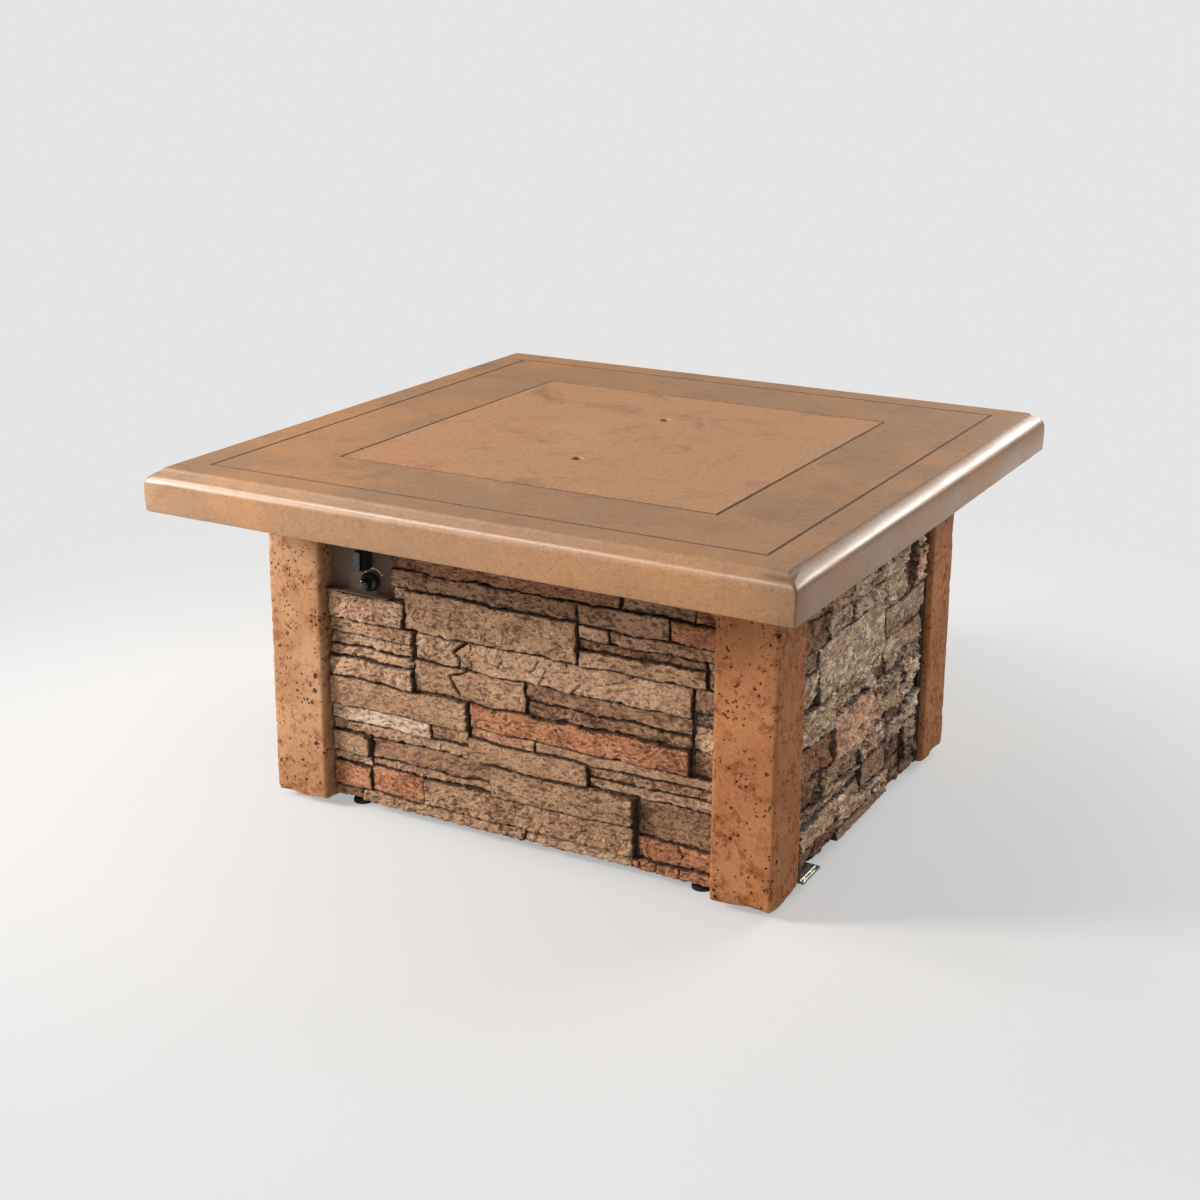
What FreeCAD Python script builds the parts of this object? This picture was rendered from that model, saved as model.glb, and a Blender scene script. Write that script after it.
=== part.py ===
"""Square gas fire pit table: cast top with a lift-out lid, stacked-stone base, access door and gas train.

Millimetres, +Z up. The origin is on the floor under the middle of the table.
The control niche is in the front (-Y) and the tank door is in the right side (+X).
"""
import FreeCAD, Part
import math
import os

V = FreeCAD.Vector
X_AXIS = V(1, 0, 0)
Y_AXIS = V(0, 1, 0)
Z_AXIS = V(0, 0, 1)

# Overall sizes
TOP_SIZE = 1133.0
TABLE_HEIGHT = 613.0
TOP_EDGE_DEPTH = 70.0
END_OVERHANG = 100.0
SIDE_OVERHANG = 182.5

# Clearances
SLIP = 0.05
SEAT_GAP = 0.3
PANEL_GAP = 0.5
LID_GAP = 2.0
STONE_JOINT = 2.6

# Cast top
STEP_ROUND = 1.0
BEAD_RUN = 2.3
BEAD_DROP = 3.5
SLOPE_RUN = 12.5
SLOPE_DROP = 6.9
NOSE_RUN = 8.9
NOSE_DROP = 14.6
FLARE_RUN = 0.8
FLARE_DROP = 13.0
FASCIA_DRAFT = 1.2
BOTTOM_ROUND = 1.2
SKIRT_WIDTH = 60.0
POCKET_DEPTH = 30.0
POCKET_MARGIN = 12.0
SCORE_INSET = 78.5
SCORE_HALF_WIDTH = 3.5
SCORE_DEPTH = 3.0
LEDGE_WIDTH = 38.0
EDGE_BEVEL = 2.5

# Lid
LID_THICKNESS = 14.0
LID_PAD_THICKNESS = 2.0
LID_PAD_RADIUS = 9.0
LID_PAD_INSET = 24.0
FINGER_HOLE_RADIUS = 10.0
FINGER_HOLE_SPACING = 314.0

# Burner pan and burner
PAN_SIDE_GAP = 15.0
PAN_DEPTH = 65.0
PAN_SHEET = 1.5
PAN_FLANGE = 30.0
RING_TUBE_RADIUS = 9.5
RING_INSET = 130.0
RING_LIFT = 22.0
HUB_RADIUS = 17.0
HUB_DROP = 35.0
HUB_STUD_RADIUS = 12.0
HUB_NUT_RADIUS = 20.0
HUB_NUT_HEIGHT = 6.0
HUB_INLET_RADIUS = 8.0
HUB_INLET_REACH = 42.0
BED_DEPTH = 50.0

# Pilot
PILOT_RING_GAP = 9.5
PILOT_Y = -120.0
PILOT_SPACING = 13.0
SHIELD_LENGTH = 52.0
SHIELD_WIDTH = 34.0
SHIELD_HEIGHT = 54.0
SHIELD_SHEET = 1.0
BRACKET_THICKNESS = 2.0
BRACKET_LENGTH = 48.0
BRACKET_WIDTH = 26.0
PAN_SLOT_LENGTH = 42.0
PAN_SLOT_WIDTH = 16.0
PILOT_DROP = 16.0
PILOT_TUBE_RADIUS = 4.0
PILOT_HOOD_RADIUS = 5.5
PILOT_RISE = 30.0
PILOT_HOOD_HEIGHT = 12.0
PROBE_RADIUS = 2.5
PROBE_RISE = 40.0
CERAMIC_RADIUS = 3.0
CERAMIC_RISE = 28.0
SPARK_ROD_RADIUS = 1.2
SPARK_ROD_RISE = 12.0

# Steel frame
FOOT_PLAY = 13.0
FRAME_LIFT = 18.0
TUBE = 25.0
TUBE_WALL = 2.0
TOP_PAD_THICKNESS = 3.0
TOP_PAD_RADIUS = 11.0

# Corner columns
COLUMN_SIZE = 105.0
COLUMN_LEG = 44.0
COLUMN_ROUND = 5.0
COLUMN_FOOT_CHAMFER = 4.0

# Fixed panels
BACKER_THICKNESS = 8.0
STONE_LIFT = 17.0
PANEL_TOP_GAP = 4.0
STONE_CHAMFER = 3.0
STONE_TILT = 1.4
STONE_RAGGED = 1.6

# Door
DOOR_LIFT = 19.0
DOOR_TOP_GAP = 10.0
DOOR_NEAR_GAP = 6.0
DOOR_FAR_GAP = 3.0
DOOR_STONE_INSET = 18.0
DOOR_TUBE = 19.0
DOOR_TUBE_WALL = 1.5
DOOR_STANDOFF = 4.0
DOOR_SKIN = 2.0
EDGE_FOLD_WIDTH = 16.5
EDGE_FOLD_RISE = 8.5
EDGE_FOLD_SHEET = 1.5
ARM_THICKNESS = 4.0
ARM_LENGTH = 60.0
ARM_NOSE = 8.0
PIVOT_INSET = 8.5
PIVOT_OFFSET = 15.0
PIVOT_RADIUS = 4.0
WASHER_THICKNESS = 2.0
WASHER_RADIUS = 9.0
HINGE_PLATE = 4.0
TOP_HINGE_PLATE = 2.5
HINGE_PLATE_LENGTH = 66.0
HINGE_PLATE_REACH = 22.0
HINGE_PLATE_NOSE = 3.5
HINGE_BOLT_RADIUS = 3.0
HINGE_BOLT_HEAD = 5.0
HINGE_BOLT_HEAD_HEIGHT = 4.0
CATCH_LENGTH = 40.0
CATCH_HEIGHT = 12.0
STRIKE_THICKNESS = 1.0

# Tank tray
TRAY_SHEET = 2.0
TRAY_LENGTH = 325.0
TRAY_END_GAP = 2.0
TRAY_LAP = 23.0
TANK_RING_RADIUS = 110.0
TANK_RING_WALL = 4.0
TANK_RING_HEIGHT = 12.0
TRAY_SLOT_LENGTH = 120.0
TRAY_SLOT_WIDTH = 22.0

# Control niche
NICHE_SIDE_GAP = 1.0
PLATE_THICKNESS = 1.5
PLATE_SILL = 20.0
PLATE_SCREW_INSET = 9.0
SCREW_RADIUS = 1.7
SCREW_HEAD_RADIUS = 3.6
SCREW_HEAD_HEIGHT = 2.2
KNOB_FROM_LEFT = 85.5
KNOB_RISE = 22.7
KNOB_STANDOFF = 5.0
KNOB_SKIRT_RADIUS = 16.5
KNOB_SKIRT_LENGTH = 9.0
KNOB_NOSE_RADIUS = 10.0
KNOB_CONE_LENGTH = 5.0
KNOB_NOSE_LENGTH = 13.5
KNOB_CROWN = 2.0
KNOB_HOLLOW_RADIUS = 13.0
KNOB_HOLLOW_DEPTH = 4.5
KNOB_RIBS = 18
KNOB_GROOVE = 1.5
STEM_RADIUS = 4.0
STEM_LENGTH = 36.0
KNOB_PUSH = 4.0
VALVE_LENGTH = 52.0
VALVE_HEIGHT = 42.0
VALVE_DEPTH = 46.0
VALVE_BOSS_RADIUS = 12.0
VALVE_BOSS_LENGTH = 10.0
VALVE_SCREW_REACH = 8.0
VALVE_SCREW_LENGTH = 8.0
PORT_LENGTH = 12.0
HOSE_PORT_RADIUS = 10.0
PILOT_PORT_RADIUS = 5.0
PROBE_PORT_RADIUS = 4.0
PORT_DROP = 13.0
PORT_SPREAD = 15.0
INLET_RADIUS = 7.9
INLET_LENGTH = 18.0
INLET_HEX = 11.0
INLET_HEX_HEIGHT = 9.0
INLET_BORE = 4.0
INLET_BORE_DEPTH = 14.0

# Igniter
IGNITER_WIDTH = 15.0
IGNITER_HEIGHT = 36.0
IGNITER_REACH = 26.5
IGNITER_SHIFT = -9.0
IGNITER_RISE = 21.0
BUTTON_WALL = 1.2
BUTTON_PROUD = 6.5
BUTTON_INSERT = 5.0
BUTTON_TRAVEL = 4.0
BARREL_RADIUS = 7.0
BARREL_LENGTH = 43.0
NUT_RADIUS = 10.5
NUT_THICKNESS = 6.0

# Tubes and leads
HOSE_RADIUS = 7.0
PILOT_LINE_RADIUS = 3.0
LEAD_RADIUS = 1.8
BEND_SHARE = 0.45
HOSE_SIDES = 16
LEAD_SIDES = 8

# Levelling feet
FOOT_RADIUS = 17.0
FOOT_THICKNESS = 8.0
FOOT_FROM_END = 142.0
FOOT_STEM_RADIUS = 4.0
FOOT_STEM_RISE = 14.0
FOOT_NUT_HEX = 7.5
FOOT_NUT_HEIGHT = 6.5

# Courses of the front panel, as laid: left, right, bottom, top, stand-out
LONG_COURSES = [
    (0, 57, 0, 23, 13), (57, 380, 0, 23, 15), (380, 577, 0, 23, 13), (577, 722, 0, 23, 15),
    (0, 79, 23, 64, 16), (79, 186, 23, 70, 14), (186, 583, 23, 70, 18), (583, 722, 23, 59, 13),
    (0, 79, 64, 85, 12), (79, 318, 70, 85, 13), (0, 79, 85, 122, 18), (79, 318, 85, 122, 12),
    (318, 583, 70, 122, 20), (583, 722, 59, 122, 10),
    (0, 276, 122, 144, 14), (276, 496, 122, 160, 18), (496, 722, 122, 142, 12), (496, 722, 142, 160, 14),
    (0, 202, 144, 170, 17), (202, 276, 144, 170, 14), (276, 399, 160, 179, 14), (399, 722, 160, 179, 15),
    (0, 276, 170, 222, 20), (276, 676, 179, 222, 17), (676, 722, 179, 222, 11),
    (0, 169, 222, 257, 20), (0, 169, 257, 277, 16), (0, 169, 277, 300, 14), (0, 169, 300, 325, 17),
    (169, 383, 222, 275, 14), (383, 678, 222, 245, 13), (383, 678, 245, 275, 12),
    (678, 722, 222, 265, 12), (678, 722, 265, 285, 8), (678, 722, 285, 325, 12),
    (169, 280, 275, 325, 13), (280, 678, 275, 325, 16),
    (0, 154, 325, 373, 21), (154, 478, 325, 395, 18), (127, 154, 373, 395, 11),
    (478, 700, 325, 352, 16), (700, 722, 325, 368, 11), (478, 700, 352, 368, 12),
    (478, 532, 368, 390, 16), (532, 722, 368, 390, 15),
    (127, 478, 395, 427, 15), (478, 636, 390, 427, 16), (636, 722, 390, 427, 17),
    (127, 174, 427, 456, 14), (174, 552, 427, 456, 16), (552, 679, 427, 456, 13), (679, 722, 427, 456, 15),
    (127, 330, 456, 488, 14), (330, 560, 456, 488, 16), (560, 722, 456, 488, 13),
    (127, 260, 488, 519, 15), (260, 480, 488, 519, 13), (480, 722, 488, 519, 16),
]
NICHE_COURSES = [
    (0, 127, 373, 410, 15), (0, 127, 410, 447, 17), (0, 127, 447, 483, 13), (0, 127, 483, 519, 16),
]

# Courses of the door panel, laid the same way; the first stone clears the hinge arm
SHORT_COURSES = [
    (0, 75, 8, 43, 14), (75, 158, 0, 43, 12), (158, 383, 0, 18, 16), (383, 520, 0, 26, 12),
    (158, 383, 18, 45, 14), (383, 458, 26, 52, 10), (458, 520, 26, 60, 15),
    (0, 245, 43, 80, 16), (245, 383, 45, 58, 10), (383, 458, 52, 88, 9), (458, 520, 60, 94, 14),
    (0, 245, 80, 105, 13), (245, 353, 58, 105, 18), (353, 383, 58, 105, 7),
    (383, 458, 88, 120, 12), (458, 520, 94, 146, 14),
    (0, 83, 105, 153, 11), (83, 240, 105, 148, 15), (240, 358, 105, 138, 16), (358, 383, 105, 138, 10),
    (383, 458, 120, 146, 9),
    (0, 128, 153, 208, 13), (128, 313, 148, 226, 19), (313, 430, 146, 183, 14), (430, 520, 146, 180, 12),
    (313, 440, 183, 221, 15), (440, 520, 180, 213, 16),
    (0, 128, 208, 273, 15), (128, 313, 226, 250, 13), (128, 335, 250, 273, 15), (313, 358, 221, 250, 7),
    (358, 440, 221, 250, 13), (440, 520, 213, 250, 14),
    (0, 60, 273, 333, 13), (0, 60, 333, 366, 11), (60, 335, 273, 366, 17),
    (335, 520, 250, 283, 14), (335, 520, 283, 300, 11), (335, 520, 300, 343, 16),
    (0, 103, 366, 413, 13), (103, 198, 366, 400, 12), (198, 335, 366, 400, 14), (335, 438, 343, 400, 13),
    (438, 470, 343, 400, 8), (470, 520, 343, 413, 18),
    (0, 103, 413, 445, 12), (103, 190, 400, 445, 14), (190, 438, 400, 445, 16), (438, 470, 400, 445, 7),
    (470, 520, 413, 445, 16),
    (0, 180, 445, 480, 14), (180, 400, 445, 480, 16), (400, 520, 445, 480, 13),
    (0, 260, 480, 511, 15), (260, 520, 480, 511, 13),
]

# How large the panels are as laid, and where the niche is in the front one
LAID_LENGTH = max(course[1] for course in LONG_COURSES)
LAID_HEIGHT = max(course[3] for course in LONG_COURSES)
LAID_NICHE_FLOOR = min(course[2] for course in NICHE_COURSES)
LAID_NICHE_WIDTH = max(course[1] for course in NICHE_COURSES)
SHORT_LENGTH = max(course[1] for course in SHORT_COURSES)
SHORT_HEIGHT = max(course[3] for course in SHORT_COURSES)

# Levels and planes that follow from the sizes above
HALF_TOP = TOP_SIZE / 2
TOP_UNDERSIDE = TABLE_HEIGHT - TOP_EDGE_DEPTH
FRAME_TOP = TOP_UNDERSIDE - TOP_PAD_THICKNESS
HALF_LENGTH = HALF_TOP - END_OVERHANG
HALF_WIDTH = HALF_TOP - SIDE_OVERHANG
PANEL_HEIGHT = FRAME_TOP - PANEL_TOP_GAP - STONE_LIFT
DOOR_STONE_HEIGHT = FRAME_TOP - DOOR_TOP_GAP - DOOR_LIFT
FRAME_X = HALF_LENGTH - COLUMN_LEG
FRAME_Y = HALF_WIDTH - COLUMN_LEG
BAY_X = HALF_LENGTH - COLUMN_SIZE
BAY_Y = HALF_WIDTH - COLUMN_SIZE
BACKER_FRONT = FRAME_Y + BACKER_THICKNESS
LID_UNDERSIDE = TABLE_HEIGHT - LID_THICKNESS
FLANGE_TOP = LID_UNDERSIDE - LID_PAD_THICKNESS
LEDGE_LEVEL = FLANGE_TOP - PAN_SHEET
HALF_PAN = FRAME_Y - TUBE - PAN_SIDE_GAP
HALF_HOLE = HALF_PAN + 3.0
HALF_REBATE = HALF_HOLE + LEDGE_WIDTH
HALF_LID = HALF_REBATE - LID_GAP
RING_HALF = HALF_PAN - RING_INSET
PILOT_X = -(RING_HALF + RING_TUBE_RADIUS + PILOT_RING_GAP + SHIELD_LENGTH / 2)
PAN_BOTTOM = FLANGE_TOP - PAN_DEPTH
PAN_FLOOR = PAN_BOTTOM + PAN_SHEET
RING_LEVEL = PAN_FLOOR + RING_LIFT
DOOR_BACK = FRAME_X + DOOR_STANDOFF
DOOR_FACE = DOOR_BACK + DOOR_TUBE + DOOR_SKIN
DOOR_NEAR = -BAY_Y + DOOR_NEAR_GAP
DOOR_FAR = BAY_Y - DOOR_FAR_GAP
DOOR_BOTTOM = FRAME_LIFT + WASHER_THICKNESS + ARM_THICKNESS
DOOR_TOP = DOOR_LIFT + DOOR_STONE_HEIGHT + 1.0
PIVOT_X = HALF_LENGTH - PIVOT_INSET
PIVOT_Y = DOOR_NEAR + PIVOT_OFFSET
NICHE_LEFT = -BAY_X + PANEL_GAP
NICHE_WIDTH = LAID_NICHE_WIDTH * (2 * BAY_X - 2 * PANEL_GAP) / LAID_LENGTH - NICHE_SIDE_GAP
KNOB_X = -BAY_X + KNOB_FROM_LEFT
NICHE_FLOOR = STONE_LIFT + LAID_NICHE_FLOOR * PANEL_HEIGHT / LAID_HEIGHT + SEAT_GAP
KNOB_HEIGHT = NICHE_FLOOR + KNOB_RISE
PLATE_FACE = -BACKER_FRONT - PLATE_THICKNESS
BARREL_X = KNOB_X + IGNITER_SHIFT
BARREL_Z = KNOB_HEIGHT + IGNITER_RISE + IGNITER_HEIGHT / 2


def box(x0, x1, y0, y1, z0, z1):
    """A block between two corners."""
    return Part.makeBox(x1 - x0, y1 - y0, z1 - z0, V(x0, y0, z0))


def slab(half_x, half_y, z0, z1):
    """A block centred on the origin in X and Y."""
    return box(-half_x, half_x, -half_y, half_y, z0, z1)


def rod(radius, start, direction, length):
    """A round bar from a point along a direction."""
    return Part.makeCylinder(radius, length, start, direction)


def hexagon(across_flats_half, base, direction, height):
    """A hexagonal prism standing on a point."""
    corner = across_flats_half / math.cos(math.radians(30))
    points = []
    for k in range(7):
        a = math.radians(60 * k)
        points.append(V(corner * math.cos(a), corner * math.sin(a), 0))
    prism = Part.Face(Part.makePolygon(points)).extrude(V(0, 0, height))
    prism.Placement = FreeCAD.Placement(base, FreeCAD.Rotation(Z_AXIS, direction))
    return prism


def frustum(half_low, half_high, z_low, z_high):
    """A square pyramid frustum centred on the origin."""
    wires = []
    for half, z in ((half_low, z_low), (half_high, z_high)):
        corners = [V(-half, -half, z), V(half, -half, z), V(half, half, z), V(-half, half, z)]
        wires.append(Part.makePolygon(corners + [corners[0]]))
    return Part.makeLoft(wires, True, True)


def turned(profile, axis_point, axis):
    """A solid turned from (radius, height) points about an axis that leaves axis_point."""
    points = [V(r, 0, h) for r, h in profile]
    points.append(points[0])
    solid = Part.Face(Part.makePolygon(points)).revolve(V(0, 0, 0), Z_AXIS, 360)
    solid.Placement = FreeCAD.Placement(axis_point, FreeCAD.Rotation(Z_AXIS, axis))
    return solid


def square_tube(x0, x1, y0, y1, z0, z1, wall, along):
    """A square tube, open at both ends of the named axis."""
    ix = 0 if along == "x" else wall
    iy = 0 if along == "y" else wall
    iz = 0 if along == "z" else wall
    outer = box(x0, x1, y0, y1, z0, z1)
    return outer.cut(box(x0 + ix, x1 - ix, y0 + iy, y1 - iy, z0 + iz, z1 - iz))


def bent_tube(points, radius, sides):
    """A many-sided tube of straight runs joined by tangent arcs, as large as their runs allow."""
    edges = []
    start = points[0]
    for k in range(1, len(points) - 1):
        before = points[k] - points[k - 1]
        after = points[k + 1] - points[k]
        turn = before.getAngle(after)
        reach = BEND_SHARE * min(before.Length, after.Length)
        u = V(before).normalize()
        w = V(after).normalize()
        enter = points[k] - u * reach
        leave = points[k] + w * reach
        bend = reach / math.tan(turn / 2)
        centre_line = (w - u).normalize()
        middle = points[k] + centre_line * (bend / math.cos(turn / 2) - bend)
        edges.append(Part.LineSegment(start, enter).toShape())
        edges.append(Part.Arc(enter, middle, leave).toShape())
        start = leave
    edges.append(Part.LineSegment(start, points[-1]).toShape())
    path = Part.Wire(edges)
    ring = [V(radius * math.cos(2 * math.pi * k / sides), radius * math.sin(2 * math.pi * k / sides), 0)
            for k in range(sides + 1)]
    section = Part.makePolygon(ring)
    section.Placement = FreeCAD.Placement(points[0], FreeCAD.Rotation(Z_AXIS, points[1] - points[0]))
    return path.makePipeShell([section], True, False)


def fused(solids):
    """One clean solid from several that touch or cross."""
    return solids[0].fuse(solids[1:]).removeSplitter()


def four_ways(make):
    """Copies at the four corners of the base, from a function of the X and Y signs."""
    return [make(sx, sy) for sx in (-1, 1) for sy in (-1, 1)]


def arc_middle(start, end, slope):
    """Middle of the arc that leaves start down a slope and ends at a lower point further out."""
    run = end[0] - start[0]
    drop = start[1] - end[1]
    chord = math.hypot(run, drop)
    half_turn = math.atan2(drop, run) - slope
    bulge = chord / 2 * math.tan(half_turn / 2)
    middle_x = (start[0] + end[0]) / 2 + bulge * drop / chord
    middle_y = (start[1] + end[1]) / 2 + bulge * run / chord
    return middle_x, middle_y


def edge_profile():
    """Cross-section of the cast top: bead, slope, bull nose and a fascia that leans in to its foot."""
    step = HALF_TOP - BEAD_RUN - SLOPE_RUN - NOSE_RUN - FLARE_RUN
    brow_start = (step - STEP_ROUND, TABLE_HEIGHT)
    brow_end = (step, TABLE_HEIGHT - STEP_ROUND)
    bead = (step + BEAD_RUN, TABLE_HEIGHT - BEAD_DROP)
    slope_end = (bead[0] + SLOPE_RUN, bead[1] - SLOPE_DROP)
    nose = (slope_end[0] + NOSE_RUN, slope_end[1] - NOSE_DROP)
    flare = (HALF_TOP, nose[1] - FLARE_DROP)
    heel = (HALF_TOP - FASCIA_DRAFT, TOP_UNDERSIDE + BOTTOM_ROUND)
    foot = (heel[0] - BOTTOM_ROUND, TOP_UNDERSIDE)
    brow_middle = arc_middle(brow_start, brow_end, 0.0)
    nose_middle = arc_middle(slope_end, nose, math.atan2(SLOPE_DROP, SLOPE_RUN))
    edges = []
    for side in (1, -1):
        def at(point):
            return V(side * point[0], 0, point[1])
        edges.append(Part.Arc(at(brow_start), at(brow_middle), at(brow_end)).toShape())
        edges.append(Part.LineSegment(at(brow_end), at(bead)).toShape())
        edges.append(Part.LineSegment(at(bead), at(slope_end)).toShape())
        edges.append(Part.Arc(at(slope_end), at(nose_middle), at(nose)).toShape())
        for start, end in ((nose, flare), (flare, heel), (heel, foot)):
            edges.append(Part.LineSegment(at(start), at(end)).toShape())
    for x, z in (brow_start, foot):
        edges.append(Part.LineSegment(V(-x, 0, z), V(x, 0, z)).toShape())
    return Part.Face(Part.Wire(Part.__sortEdges__(edges)))


def table_top():
    """Cast top: mitred bull-nose edge, scored border, rebated burner opening and a hollow underside."""
    section = edge_profile()
    section.translate(V(0, -HALF_TOP, 0))
    along_y = section.extrude(V(0, TOP_SIZE, 0))
    along_x = along_y.copy()
    along_x.rotate(V(0, 0, 0), Z_AXIS, 90)
    body = along_y.common(along_x)
    hole = slab(HALF_HOLE, HALF_HOLE, TOP_UNDERSIDE - 1, TABLE_HEIGHT + 1)
    rebate = slab(HALF_REBATE, HALF_REBATE, LEDGE_LEVEL, TABLE_HEIGHT + 1)
    bevel = frustum(HALF_REBATE, HALF_REBATE + EDGE_BEVEL, TABLE_HEIGHT - EDGE_BEVEL, TABLE_HEIGHT)
    score_at = HALF_TOP - SCORE_INSET
    score_foot = TABLE_HEIGHT - SCORE_DEPTH
    outer = frustum(score_at, score_at + SCORE_HALF_WIDTH, score_foot, TABLE_HEIGHT)
    inner = frustum(score_at, score_at - SCORE_HALF_WIDTH, score_foot, TABLE_HEIGHT)
    score = outer.cut(inner)
    pocket_top = TOP_UNDERSIDE + POCKET_DEPTH
    pocket_half = HALF_TOP - SKIRT_WIDTH
    pocket = slab(pocket_half, pocket_half, TOP_UNDERSIDE - 1, pocket_top)
    seat_x = HALF_LENGTH + POCKET_MARGIN
    seat_y = HALF_WIDTH + POCKET_MARGIN
    pocket = pocket.cut(slab(seat_x, seat_y, TOP_UNDERSIDE - 2, pocket_top + 1))
    for tool in (hole, rebate, bevel, score, pocket):
        body = body.cut(tool)
    return body


def burner_lid():
    """Flush lid with softened edges and two finger holes."""
    lid = slab(HALF_LID, HALF_LID, LID_UNDERSIDE, TABLE_HEIGHT - EDGE_BEVEL)
    brow = frustum(HALF_LID, HALF_LID - EDGE_BEVEL, TABLE_HEIGHT - EDGE_BEVEL, TABLE_HEIGHT)
    lid = lid.fuse(brow)
    for side in (-1, 1):
        start = V(0, side * FINGER_HOLE_SPACING / 2, LID_UNDERSIDE - 1)
        lid = lid.cut(rod(FINGER_HOLE_RADIUS, start, Z_AXIS, LID_THICKNESS + 2))
    return lid


def lid_pads():
    """Four pads under the lid that rest on the pan's flange."""
    reach = HALF_LID - LID_PAD_INSET

    def pad(sx, sy):
        return rod(LID_PAD_RADIUS, V(sx * reach, sy * reach, FLANGE_TOP), Z_AXIS, LID_PAD_THICKNESS)
    return four_ways(pad)


def burner_pan():
    """Folded pan that hangs by its flange, with holes for the hub and the pilot."""
    pan = slab(HALF_PAN, HALF_PAN, PAN_BOTTOM, FLANGE_TOP)
    pan = pan.fuse(slab(HALF_PAN + PAN_FLANGE, HALF_PAN + PAN_FLANGE, LEDGE_LEVEL, FLANGE_TOP))
    inside = HALF_PAN - PAN_SHEET
    pan = pan.cut(slab(inside, inside, PAN_FLOOR, FLANGE_TOP + 1))
    pan = pan.cut(rod(HUB_STUD_RADIUS + SLIP, V(0, 0, PAN_BOTTOM - 1), Z_AXIS, PAN_SHEET + 2))
    slot = box(PILOT_X - PAN_SLOT_LENGTH / 2, PILOT_X + PAN_SLOT_LENGTH / 2,
               PILOT_Y - PAN_SLOT_WIDTH / 2, PILOT_Y + PAN_SLOT_WIDTH / 2, PAN_BOTTOM - 1, PAN_FLOOR + 1)
    return pan.cut(slot)


def burner_ring(grow=0.0):
    """Square gas ring of mitred tube with one cross tube, optionally grown for a clearance."""
    radius = RING_TUBE_RADIUS + grow
    long = RING_HALF + radius
    mitre = Part.Face(Part.makePolygon([V(0, 0, 0), V(-long, -long, 0), V(long, -long, 0), V(0, 0, 0)]))
    mitre.translate(V(0, 0, RING_LEVEL - radius - 1))
    wedge = mitre.extrude(V(0, 0, 2 * radius + 2))
    side = rod(radius, V(-long, -RING_HALF, RING_LEVEL), X_AXIS, 2 * long).common(wedge)
    parts = [rod(radius, V(-RING_HALF, 0, RING_LEVEL), X_AXIS, 2 * RING_HALF)]
    for k in range(4):
        piece = side.copy()
        piece.rotate(V(0, 0, 0), Z_AXIS, 90 * k)
        parts.append(piece)
    return fused(parts)


def burner_hub():
    """Turned brass hub under the pan, with its stud through the floor and its side inlet."""
    stud_top = RING_LEVEL - RING_TUBE_RADIUS - PAN_BOTTOM + 0.5
    profile = [(0, -HUB_DROP), (HUB_RADIUS - 3, -HUB_DROP), (HUB_RADIUS, 3 - HUB_DROP), (HUB_RADIUS, 0),
               (HUB_STUD_RADIUS, 0), (HUB_STUD_RADIUS, stud_top), (0, stud_top)]
    hub = turned(profile, V(0, 0, PAN_BOTTOM), Z_AXIS)
    inlet = rod(HUB_INLET_RADIUS, V(0, 0, PAN_BOTTOM - HUB_DROP / 2), -X_AXIS, HUB_INLET_REACH)
    return hub.fuse(inlet).cut(burner_ring(0.0))


def hub_nut():
    """Lock nut that clamps the hub to the pan's floor."""
    nut = hexagon(HUB_NUT_RADIUS, V(0, 0, PAN_FLOOR), Z_AXIS, HUB_NUT_HEIGHT)
    return nut.cut(rod(HUB_STUD_RADIUS + SLIP, V(0, 0, PAN_FLOOR - 1), Z_AXIS, HUB_NUT_HEIGHT + 2))


def pilot_shield():
    """Open sheet-metal collar that keeps the glass off the pilot."""
    half_x = SHIELD_LENGTH / 2
    half_y = SHIELD_WIDTH / 2
    collar = box(PILOT_X - half_x, PILOT_X + half_x, PILOT_Y - half_y, PILOT_Y + half_y,
                 PAN_FLOOR, PAN_FLOOR + SHIELD_HEIGHT)
    inner_x = half_x - SHIELD_SHEET
    inner_y = half_y - SHIELD_SHEET
    return collar.cut(box(PILOT_X - inner_x, PILOT_X + inner_x, PILOT_Y - inner_y, PILOT_Y + inner_y,
                          PAN_FLOOR - 1, PAN_FLOOR + SHIELD_HEIGHT + 1))


def glass_bed():
    """Bed of crushed glass that fills the pan round the burner and the pilot's collar."""
    half = HALF_PAN - PAN_SHEET - SEAT_GAP
    low = PAN_FLOOR
    high = PAN_FLOOR + BED_DEPTH
    bed = slab(half, half, low, high - 2)
    bed = bed.fuse(frustum(half, half - 10, high - 2, high))
    half_x = SHIELD_LENGTH / 2 + SEAT_GAP
    half_y = SHIELD_WIDTH / 2 + SEAT_GAP
    bed = bed.cut(box(PILOT_X - half_x, PILOT_X + half_x, PILOT_Y - half_y, PILOT_Y + half_y,
                      low - 1, high + 1))
    bed = bed.cut(rod(HUB_NUT_RADIUS * 1.2, V(0, 0, low - 1), Z_AXIS, RING_LEVEL - low + 1))
    return bed.cut(burner_ring(SEAT_GAP))


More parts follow.
